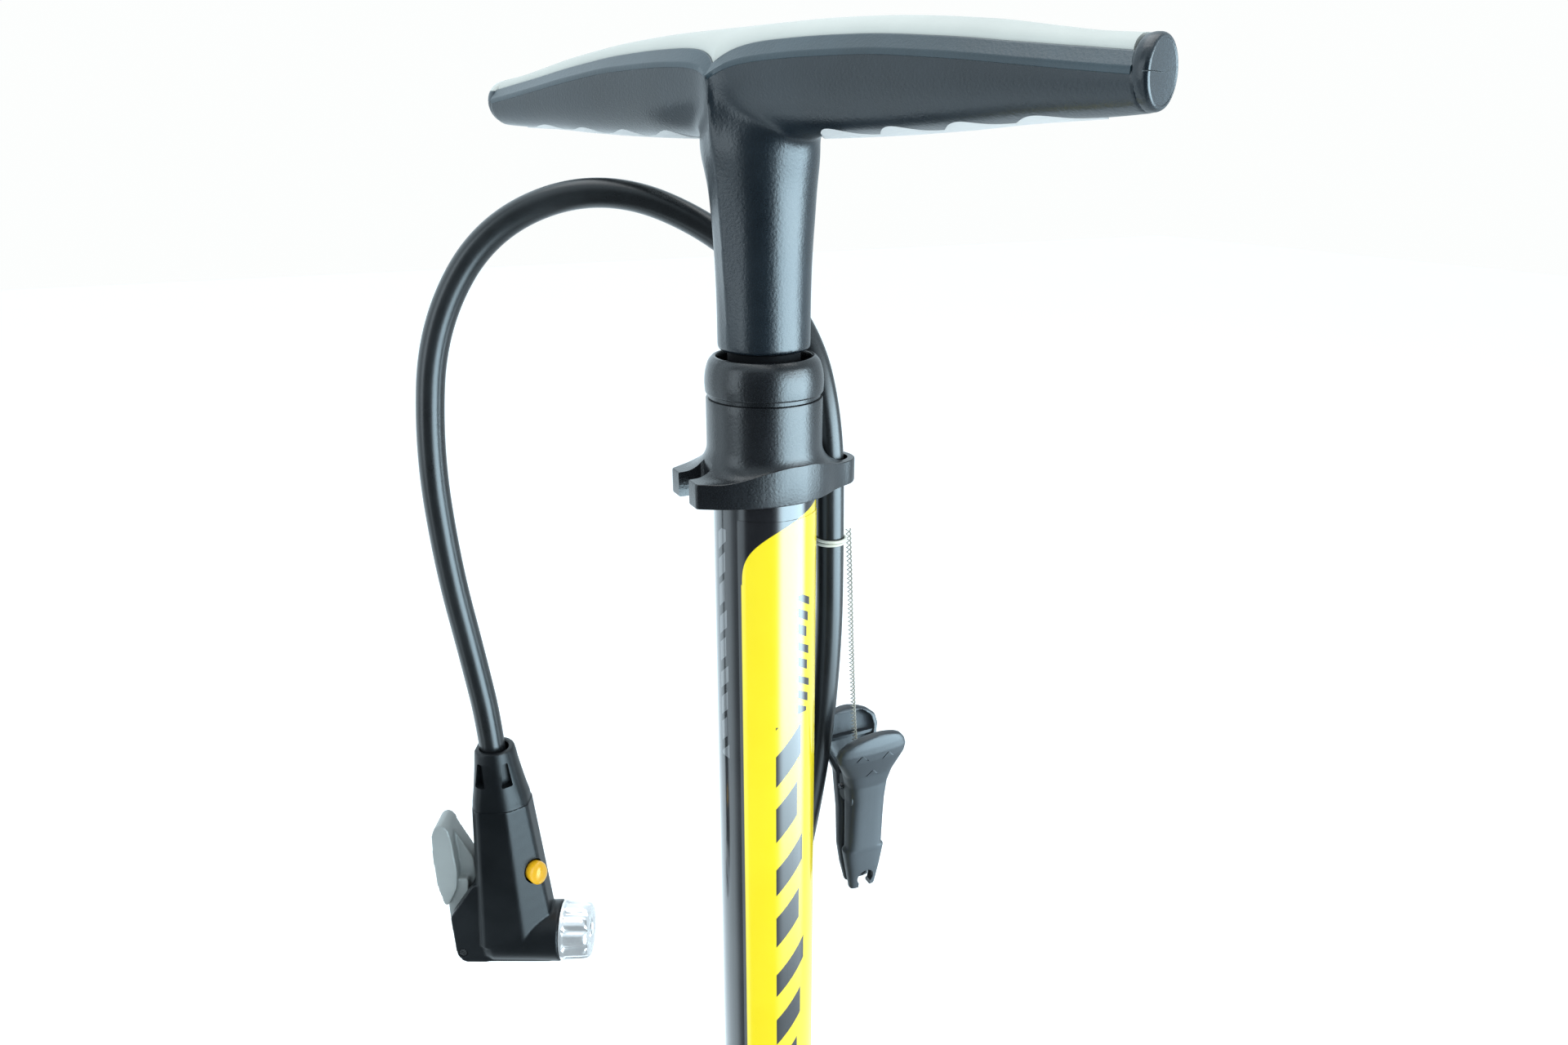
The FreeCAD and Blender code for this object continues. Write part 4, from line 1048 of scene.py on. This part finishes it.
collar_grid = np.stack([rz[..., 0] * np.cos(turn), rz[..., 0] * np.sin(turn), rz[..., 1]], -1)
collar = grid_piece("hose_collar_guide", collar_grid, close_rows=True, caps=False)
hose_way = turned_piece("hose_way", [(5.3, 550), (5.3, 572)], 48, frame_of((23, 0, 0)), closed=False)
fork_outline = [(-30, -4.2), (-19.4, -4.2), (-18.6, -3.4), (-18.6, 3.4), (-19.4, 4.2), (-30, 4.2)]
fork_slot = grid_piece("fork_slot", between(fork_outline, 550.0, 574.0, 2), smooth=False)
collar = minus(collar, hose_way, fork_slot)
outward(collar)
sharpen(collar, 34)
print("collar faces:", len(collar.data.polygons))

# %% [markdown]
# ## The head
# The head that goes on the tyre valve hangs from the hose. Its body is a tapering shank
# with a flat front and a slanting cheek on the right, a round snout that holds the chrome
# nut, and a lug behind for the lock lever. It is a union of simple shapes, so it is fused
# in small cells and eased, which rounds the edges as a mould does.

# %% Head body and sleeve
HEAD_SPOT, HEAD_TURN = (-76.64, 61.86, 375.8), -26.0
head_place = frame_of(HEAD_SPOT, HEAD_TURN)
SEAM = 57.8
PIN_X, PIN_Z, PIN_HOLE = -18.2, -3.2, 1.7
HOSE_X, HOSE_HOLE, SLEEVE_TOP_R = -1.75, 5.05, 7.05


def ring_at(corners, level, radius=1.2):
    line = rounded(np.asarray(corners, float), radius, 4)
    return np.column_stack([line, np.full(len(line), level)])


def prism(name, corners, low, high, radius=1.0):
    """An upright profile in x and z, carried across from one y to another."""
    line = rounded(corners, radius, 3)
    return grid_piece(name, head_place(between(line, low, high, 1)), caps="flat", smooth=False)


def both_sides(half):
    """An outline from its near half: the same corners mirrored to the far side."""
    return half + [(x, -y) for x, y in half[::-1]]


foot_corners = both_sides([(-12.6, -7.4), (-9.8, -10.8), (5.3, -10.8), (15.6, -4.4)])
top_corners = both_sides([(-10.4, -6.0), (-7.6, -9.4), (2.8, -9.4), (9.4, -4.2)])
foot_ring, top_ring = ring_at(foot_corners, 0), ring_at(top_corners, SEAM)
levels = np.linspace(0, 1, 12)[:, None, None]
shank = grid_piece("shank", head_place(foot_ring * (1 - levels) + top_ring * levels), smooth=False)


def across_x(profile, name):
    """A lathe piece about the snout's own axis: (distance out, radius) corners."""
    profile = np.asarray(profile, float)
    turn = whole_turn(64)[None, :]
    out, r = profile[:, :1], profile[:, 1:]
    grid = np.stack([out + 0 * turn, r * np.cos(turn), r * np.sin(turn)], -1)
    return grid_piece(name, head_place(grid))


snout = across_x([(-11.5, 7.0), (-9.5, 10.2), (-7, 10.9), (8, 11.0), (17.3, 11.2), (17.65, 10.9)],
                 "snout")
lug = prism("lug", [(-9, 27), (-12.3, 26.2), (-21.6, 12.4), (-20.6, -4.4), (-18.4, -7.4), (-9, -7.6)],
            -9, 9)
sole = prism("sole", [(-18.0, -7.8), (-10, 2), (10, 2), (14.6, -7.8)], -8.6, 8.6)
head_body = fused("head_shell", [shank, snout, lug, sole], 0.42)
lever_slot = prism("lever_slot", [(-36, -9.8), (-13.0, -9.8), (-13.0, 34), (-36, 34)], -4.6, 4.6, 0.1)
snout_bore = across_x([(-14, 5.6), (7.9, 5.6), (8, 7.2), (30, 7.2)], "snout_bore")
pin_ring = [(PIN_X + PIN_HOLE * math.cos(a), PIN_Z + PIN_HOLE * math.sin(a))
            for a in np.arange(24) * TAU / 24]
pin_holes = [prism(f"pin_hole_{k}", pin_ring, k * 8.6 - 1.2, k * 8.6 + 1.2, 0.0) for k in (-1.05, 1.05)]
BUTTON_AXIS, BUTTON_BASE, OVAL = math.radians(-38), np.array([11.3, -6.2, 30.6]), 1.28


def button_place(points):
    """Local button points: x across, y up, z out of the cheek."""
    points = np.asarray(points, float)
    out = np.array([math.cos(BUTTON_AXIS), math.sin(BUTTON_AXIS), 0.0])
    flat = np.array([-math.sin(BUTTON_AXIS), math.cos(BUTTON_AXIS), 0.0])
    up = np.array([0.0, 0.0, 1.0])
    local = BUTTON_BASE + points[..., :1] * flat + points[..., 1:2] * up + points[..., 2:] * out
    return head_place(local)


def oval_lathe(name, profile):
    """A dome with an oval outline, taller than wide: radius, height out of the cheek."""
    profile = np.asarray(profile, float)
    turn = whole_turn(64)[None, :]
    r, out = profile[:, :1], profile[:, 1:]
    grid = np.stack([r * np.cos(turn), OVAL * r * np.sin(turn), out + 0 * turn], -1)
    return grid_piece(name, button_place(grid))


button_well = oval_lathe("button_well", [(3.95, -6), (3.95, 0.4), (4.5, 1.2), (4.9, 4.0)])
head_body = minus(head_body, lever_slot, snout_bore, button_well, *pin_holes)
sharpen(head_body, 40)
button = oval_lathe("button_dome", [(3.2, -3.0), (3.55, 0.4), (3.45, 1.3), (3.05, 2.1), (2.3, 2.65),
                                    (1.2, 2.95), (0.3, 3.02)])
print("head shell faces:", len(head_body.data.polygons))

level_marks = [0.12, 0.3, 2.5, 6.0, 11.0, 16.5, 20.0, 21.3]
blend_marks = [0.0, 0.02, 0.1, 0.3, 0.55, 0.8, 0.93, 1.0]
levels = np.concatenate([[0.12], np.linspace(0.3, 21.3, 40)])[:, None, None]
share = steps_between(levels, level_marks, blend_marks)
octagon = ring_at(top_corners, 0.0, 2.6)
heading = np.arctan2(octagon[:, 1], octagon[:, 0] + 0.7)
circle = np.column_stack([SLEEVE_TOP_R * np.cos(heading) + HOSE_X, SLEEVE_TOP_R * np.sin(heading),
                          0 * heading])
wall = octagon * (1 - share) + circle * share + np.array([0, 0, 1.0]) * (levels + SEAM)
middle = np.array([HOSE_X, 0.0, 0.0])
lips = [middle + (circle - middle) * shrink + [0, 0, SEAM + up]
        for shrink, up in ((0.97, 21.7), (0.9, 21.9), (0.78, 21.85), (0.715, 21.5))]
sleeve = grid_piece("head_strain_sleeve", head_place(np.concatenate([wall, np.stack(lips)])), caps="flat")
cable_hole = turned_piece("cable_hole", [(HOSE_HOLE, SEAM + 1.0), (HOSE_HOLE, SEAM + 24)], 48,
                          lambda p: head_place(p + middle), closed=False)
windows = []
for face, lean in ((-122, -1), (-52, 1), (58, -1), (128, 1)):
    face = math.radians(face)
    top = 0.25 * lean
    pane = rounded([(-2.1, 9.0), (2.1, 9.0), (top + 1.05, 17.9), (top - 1.05, 17.9)], 0.6, 4)
    c, s = math.cos(face), math.sin(face)
    rows = [np.column_stack([out * c - pane[:, 0] * s + HOSE_X, out * s + pane[:, 0] * c,
                             pane[:, 1] + SEAM]) for out in (5.9, 14.0)]
    windows.append(grid_piece(f"window_{len(windows)}", head_place(np.stack(rows)), caps="flat",
                              smooth=False))
sleeve = minus(sleeve, cable_hole, *windows)
outward(sleeve)
sharpen(sleeve, 34)

# %% Chrome nut
flutes = 10
turn = whole_turn(flutes * 24)[None, :]
nut_marks = np.array([  # distance out, radius, how deep the flutes are
    (17.8, 4.0, 0), (17.8, 10.7, 0), (18.1, 11.0, 0), (18.9, 11.0, 0), (19.4, 10.8, 0.4), (20.0, 10.7, 1),
    (25.6, 10.5, 1), (27.2, 10.2, 0.8), (28.2, 9.7, 0.3), (28.55, 9.1, 0), (28.6, 4.9, 0), (28.4, 4.4, 0),
    (27.9, 4.1, 0), (27.0, 4.0, 0), (17.8, 4.0, 0)])
nut_out, nut_radius, dent = (column[:, None] for column in nut_marks.T)
lobe = np.abs(np.cos(turn * flutes / 2)) ** 5
radius = nut_radius - dent * 0.75 * lobe
nut_grid = np.stack([nut_out + 0 * turn, radius * np.cos(turn), radius * np.sin(turn)], -1)
nut = grid_piece("valve_nut_fluted", head_place(nut_grid), close_rows=True, caps=False)
sharpen(nut, 38)

# %% Lock lever
blade = prism("lever_blade", [(-24.2, 15.2), (-26.2, 24), (-26.6, 36), (-26.3, 45.5), (-24.8, 49.0),
                              (-22.4, 50.0), (-20.2, 48.2), (-19.3, 44), (-18.4, 30), (-19.2, 22.5),
                              (-22.6, 15.6)], -5.6, 5.6)
web = prism("lever_web", [(-22.0, 48.0), (-19.6, 46.0), (-13.2, 33.0), (-13.0, 22.0), (-22.0, 20.0)],
            -1.0, 5.2, 0.8)
tongue = prism("lever_tongue", [(-22.0, -3.6), (-20.6, -6.2), (-18.2, -7.0), (-14.8, -4.6),
                                (-14.8, 1.5), (-15.8, 14), (-15.0, 26), (-23.0, 26), (-23.4, 12)],
               -4.0, 4.0)
lever = fused("lever_grip", [blade, web, tongue], 0.42)
sharpen(lever, 40)
print("lever faces:", len(lever.data.polygons))

# %% [markdown]
# ## The clip
# A small two-jawed clip hangs from the wire. The front jaw has a flared thumb pad with
# rolled edges and three cut chevrons, and the rear jaw an open oval loop. A jaw is a rounded
# bar whose width, depth and face follow its height, hollowed and then eased in small cells.

# %% Clip jaws
CLIP_X, CLIP_Y, CLIP_Z = 36.2, 1.0, 444.0
clip_place = frame_of((CLIP_X, CLIP_Y, CLIP_Z))


def jaw_solid(name, marks, sign, inset=0.0, reach=0.0):
    """A rounded bar whose width, middle, front face and depth follow the height.
    Section: |x / width|^4 + |y / half depth|^4 = 1. inset shrinks it, and reach carries
    its back further, so that the same rule gives the tool that hollows the bar."""
    marks = np.asarray(marks, float)
    z, wide, middle, face, deep = marks.T
    levels = np.linspace(z[0] + inset * 0.7, z[-1] - inset, 150)
    wide, middle, face, deep = (np.interp(levels, z, v)[:, None] for v in (wide, middle, face, deep))
    wide = np.maximum(wide - inset, 0.15)
    face, deep = face - inset, deep - inset + reach
    turn = whole_turn(64)[None, :]
    c = np.sign(np.cos(turn)) * np.abs(np.cos(turn)) ** 0.5
    s = np.sign(np.sin(turn)) * np.abs(np.sin(turn)) ** 0.5
    x = middle + wide * c
    y = sign * (face - deep / 2 + s * deep / 2 - 0.9 * (wide * c / 13.0) ** 2)
    return grid_piece(name, clip_place(np.stack([x, y, levels[:, None] + 0 * turn], -1)), caps="flat")


# height, half width, middle, front face, depth
FRONT_JAW = [(-42.6, 5.0, 1.5, 3.7, 3.4), (-34, 6.5, 1.4, 5.0, 4.8), (-26.6, 7.7, 1.2, 5.9, 5.8),
             (-25.2, 7.9, 1.2, 6.1, 6.0), (-24.4, 6.8, 1.1, 6.2, 6.1), (-12, 6.8, 0.9, 7.3, 7.2),
             (-4, 6.9, 0.8, 8.1, 8.2), (3, 7.6, 0.6, 8.9, 8.4), (8, 9.0, 0.4, 10.0, 7.6),
             (12, 11.0, 0.1, 11.3, 6.4), (15.5, 12.8, -0.2, 12.4, 5.2), (18.5, 13.3, -0.5, 13.0, 4.6),
             (21, 12.3, -0.4, 13.1, 4.2), (23, 9.8, 0.4, 12.9, 3.8), (24.2, 6.6, 1.2, 12.6, 3.2),
             (24.9, 2.2, 1.8, 12.2, 2.4)]
REAR_JAW = [(-41.5, 4.8, 1.4, 3.5, 2.8), (-34, 6.2, 1.2, 4.8, 4.2), (-26, 6.8, 0.8, 5.8, 5.2),
            (-12, 6.2, 0.4, 7.3, 6.6), (3, 6.8, 0.4, 9.3, 7.2), (8, 8.8, 0.6, 10.6, 5.6),
            (12, 11.2, 0.9, 12.0, 4.8), (16, 12.4, 1.0, 13.1, 4.2), (19.5, 11.6, 1.0, 13.6, 4.0),
            (22, 8.6, 1.0, 13.8, 3.8), (23.4, 5.0, 1.0, 13.8, 3.2), (24.0, 1.6, 1.0, 13.7, 2.4)]
front_jaw = minus(jaw_solid("clip_front", FRONT_JAW, -1),
                  jaw_solid("front_hollow", FRONT_JAW[:-2], -1, 1.9, 6.0))
rear_jaw = minus(jaw_solid("clip_rear", REAR_JAW, 1), jaw_solid("rear_hollow", REAR_JAW, 1, 1.7, 6.0))
front_jaw = fused("clip_front", [front_jaw], 0.34)
rear_jaw = fused("clip_rear", [rear_jaw], 0.34, 4)


def pad_face(x, z):
    """How far forward the thumb pad's face is at a spot."""
    z_marks, _, _, face, _ = np.array(FRONT_JAW).T
    return -(np.interp(z, z_marks, face) - 0.9 * (x / 13.0) ** 2)


def chevron(name, x, z):
    """A cutter for one small V: two slim bars that lean together at the top."""
    bars = []
    for k, lean in enumerate((-1, 1)):
        line = np.array([(0.05 * lean, 1.2), (0.55 * lean, 1.2), (2.55 * lean, -1.1), (2.05 * lean, -1.1)])
        rows = between(line + [x, z], -17.0, pad_face(x, z) + 0.55, 1)
        bars.append(grid_piece(f"{name}_{k}", clip_place(rows), caps="flat", smooth=False))
    return bars


mouth = turned_piece("jaw_mouth", [(3.3, -20), (3.3, 1)], 48,
                     lambda p: clip_place(np.stack([p[..., 0] + 1.9, p[..., 2], p[..., 1] - 38.2], -1)),
                     closed=False)
gape = block("jaw_gape", (CLIP_X - 0.6, -20, CLIP_Z - 46), (CLIP_X + 4.2, 2.0, CLIP_Z - 39.5))
front_jaw = minus(front_jaw, mouth, gape, *chevron("mark_a", -5.4, 17.2), *chevron("mark_b", 4.9, 16.4),
                  *chevron("mark_c", -0.1, 9.4))
rib = block("jaw_rib", (CLIP_X - 9.6, CLIP_Y + 8.6, CLIP_Z + 13.2),
            (CLIP_X + 11.2, CLIP_Y + 11.6, CLIP_Z + 14.4))


def jaw_ears(name, xs, near, far, thick=1.6):
    """The pair of ears that hang on the pin."""
    line = rounded([(near, -5.0), (far, -5.0), (far, 5.0), (near, 5.0)], 2.2, 5)
    return [grid_piece(f"{name}_{k}", clip_place(between(line, x, x + thick, 0)), smooth=False)
            for k, x in enumerate(xs)]


front_jaw = joined("clip_front_jaw_pad", [front_jaw, *jaw_ears("ear_f", (-6.0, 4.6), -7.0, 2.2)])
rear_jaw = joined("clip_rear_jaw_loop", [rear_jaw, rib, *jaw_ears("ear_r", (-4.1, 2.5), -2.2, 7.4)])
for jaw in (front_jaw, rear_jaw):
    jaw.data.polygons.foreach_set("use_smooth", np.ones(len(jaw.data.polygons), bool))
    sharpen(jaw, 38)
print("clip jaws made")

# %% [markdown]
# ## Dial
# The gauge is read from above, so its dial needs a scale: fine ticks each unit, long ticks
# each fifth, and plain numbers. The ticks are one mesh of thin raised bars, worked out as
# an array, and the numbers are flat text turned into mesh.

# %% Dial scale
DIAL_SPOT, DIAL_TILT = (0, -56.0, 33.0), 40.0
dial_place = frame_of(DIAL_SPOT, 0, DIAL_TILT)
count = 61
spin = np.radians(225 - 270 * np.arange(count) / (count - 1))
long_tick = np.arange(count) % 5 == 0
inner = np.where(long_tick, 23.2, 25.4)[:, None]
outer = np.full((count, 1), 27.8)
wide = np.where(long_tick, 0.42, 0.2)[:, None]
radial = np.stack([np.cos(spin), np.sin(spin)], -1)
across = np.stack([-np.sin(spin), np.cos(spin)], -1)
quads = []
for level in (15.72, 15.82):
    for r, w in ((inner, -wide), (outer, -wide), (outer, wide), (inner, wide)):
        flat = radial * r + across * w
        quads.append(np.column_stack([flat, np.full(count, level)]))
corner = np.stack(quads, 1)
tick_faces = (BOX_FACES[None] + 8 * np.arange(count)[:, None, None]).reshape(-1, 4)
ticks = mesh_piece("dial_ticks", dial_place(corner.reshape(-1, 3)), tick_faces.tolist(), smooth=False)
outward(ticks)


def number(text, x, y, size):
    """One flat number as a mesh, lying on the dial."""
    curve = bpy.data.curves.new("number", "FONT")
    curve.body, curve.size = text, size
    curve.align_x, curve.align_y = "CENTER", "CENTER"
    curve.extrude = 0.05
    flat = placed("number", curve)
    mesh = final_mesh(flat)
    bpy.data.objects.remove(flat)
    spots = dial_place(spots_of(mesh) + [x, y, NUMBER_LIFT]) * MM
    mesh.vertices.foreach_set("co", spots.ravel())
    return placed("number", mesh)


NUMBER_LIFT, NUMBER_RING = 15.77, 19.2
headings = [math.radians(225 - 45 * k) for k in range(7)]
marks = [number(str(20 * k), NUMBER_RING * math.cos(a), NUMBER_RING * math.sin(a), 4.4)
         for k, a in enumerate(headings)]
numbers = joined("dial_numbers", marks)
print("dial ticks:", count, "numbers:", 7)

# %% [markdown]
# ## Who carries what
# Each new piece rides on the body that carries the solid it stands for, and says which
# solids it hides. The finishes of the solids that stay are set in their own slots.

# %% Dress the pieces
def dress(piece, finish, body, slot_name, *hidden):
    """Finish, body, slot name (not used) and the solids a piece stands for."""
    piece.data.materials.clear()
    piece.data.materials.append(finish)
    if hasattr(piece.data, "polygons"):
        piece.data.polygons.foreach_set("material_index", np.zeros(len(piece.data.polygons), np.int32))
    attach(piece, body)
    if hidden:
        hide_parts(*hidden)


def end_skin():
    """The arm's rounded end: shell, chamfer band and soft pad meet there, split by height."""
    f = Finish("end_skin", (0.010, 0.014, 0.019), 0.36)
    rise, fine, slow = f.axis("Z"), f.noise(1300, 2), f.noise(22, 5)
    # The band's stripe here is lighter than the shell: painted light that the chamfer catches, on the same
    # nylon.
    band_tone_lit = f.mix(rise.step(0.6730, 0.6734), (0.010, 0.014, 0.019), (0.026, 0.038, 0.047))
    tone = f.mix(rise.step(0.6763, 0.6767), band_tone_lit, (0.53, 0.535, 0.495))
    f.feed(Base_Color=f.mix(slow.step(0.3, 0.8) * 0.04, tone, (0.3, 0.32, 0.34)),
           Roughness=fine * 0.1 + slow * 0.16 + 0.22)
    f.bump(fine, 0.6, 0.00008)
    return f.material


ink_dial = moulded("ink_dial", (0.02, 0.02, 0.022), 0.5, drift=0.1, strength=0.05)
wire_white = moulded("wire_white", (0.40, 0.39, 0.34), 0.38, drift=0.12, strength=0.1)
band_white = moulded("band_white", (0.78, 0.78, 0.68), 0.45, drift=0.06, strength=0.1)
dial_face = moulded("dial_face", (0.86, 0.86, 0.84), 0.45, drift=0.02, strength=0.03, wear=0.0)
needle_paint = moulded("needle_paint", (0.7, 0.03, 0.02), 0.35, drift=0.08, strength=0.05)

dress(hose, rubber_hose, "pump", "hose_rubber", "hose")
dress(tie_wire, wire_white, "pump", "wire_white", "tie_wire")
dress(tie_wrap, band_white, "pump", "wire_white", "tie_band")
dress(lower_shell, nylon_handle, "handle", "handle_grey", "handle_lower_shell")
dress(band, nylon_band_lit, "handle", "handle_grey", "handle_upper_shell")
dress(pad, pad_warm, "handle", "pad_grey", "handle_top_pad")
dress(ends[0], end_skin(), "handle", "handle_grey")
dress(ends[1], nylon_handle, "handle", "handle_grey")
dress(grips[0], grip_pale, "handle", "grip_grey", "grip_pad_left")
dress(grips[1], grip_pale, "handle", "grip_grey", "grip_pad_right")
dress(cap, nylon_black, "pump", "black_nylon", "barrel_cap")
dress(bumper, rubber_painted_shade, "handle", "soft_rubber", "rod_bumper")
dress(collar, nylon_black, "pump", "black_nylon", "hose_collar")
dress(head_body, head_nylon, "pump", "black_nylon", "head_body")
dress(sleeve, head_nylon, "pump", "black_nylon", "head_sleeve")
dress(nut, chrome_bright, "pump", "chrome", "valve_nut")
dress(button, plastic_button, "button", "button_yellow", "release_button")
dress(lever, nylon_lever, "lever", "lever_grey", "head_lever")
dress(front_jaw, clip_nylon, "clip_jaw", "black_nylon", "clip_front_jaw")
dress(rear_jaw, clip_nylon, "pump", "black_nylon", "clip_rear_jaw")
dress(ticks, ink_dial, "pump", "dial_white")
dress(numbers, ink_dial, "pump", "dial_white")

FINISHES = {
    wrap_black: ["barrel", "barrel_label"],
    acetal_white: ["rod_bushing", "piston", "valve_disc", "head_plunger"],
    rubber_painted_shade: ["rod_wiper"],
    rubber_black: ["piston_seal", "rubber_feet", "centre_foot", "barrel_o_ring", "head_gasket"],
    steel_ground: ["rod", "rod_clip", "piston_washer", "piston_screw", "handle_screw", "base_screws",
                   "valve_spring", "hose_ferrule", "lever_pin", "button_spring", "clip_pin", "clip_spring"],
    base_spray: ["base_plate"],
    tread_rubber: ["tread_left", "tread_right"],
    nylon_black: ["base_housing", "gauge_case", "gauge_bezel"],
    lens_clear: ["gauge_lens"],
    dial_face: ["gauge_dial"],
    needle_paint: ["gauge_needle"],
    brass_turned: ["valve_seat", "gauge_arbor", "pressure_tube", "hose_port"],
}
for finish, names in FINISHES.items():
    for name in names:
        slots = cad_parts[name].data.materials
        slots.clear()
        slots.append(finish)
covered = {n for names in FINISHES.values() for n in names}
print("solids with a new finish:", len(covered))

# %% [markdown]
# ## Floor
# A pale floor that is large enough to meet the bright room without a visible edge.

# %% Floor
floor_line = np.linspace(-6000, 6000, 3)
FX, FY = np.meshgrid(floor_line, floor_line, indexing="ij")
floor = grid_piece("floor_sheet", np.stack([FX, FY, 0 * FX - 0.2], -1), close_cols=False, caps=False)
pale = Finish("pale_floor", (0.93, 0.94, 0.95), 0.8)
pale.feed(Base_Color=pale.mix(pale.noise(3, 3), (0.92, 0.93, 0.94), (0.95, 0.96, 0.96)))
pale.shader.inputs["Emission Color"].default_value = (0.97, 0.99, 1.0, 1)
pale.shader.inputs["Emission Strength"].default_value = 0.3
floor.data.materials.append(pale.material)
floor.visible_glossy = False
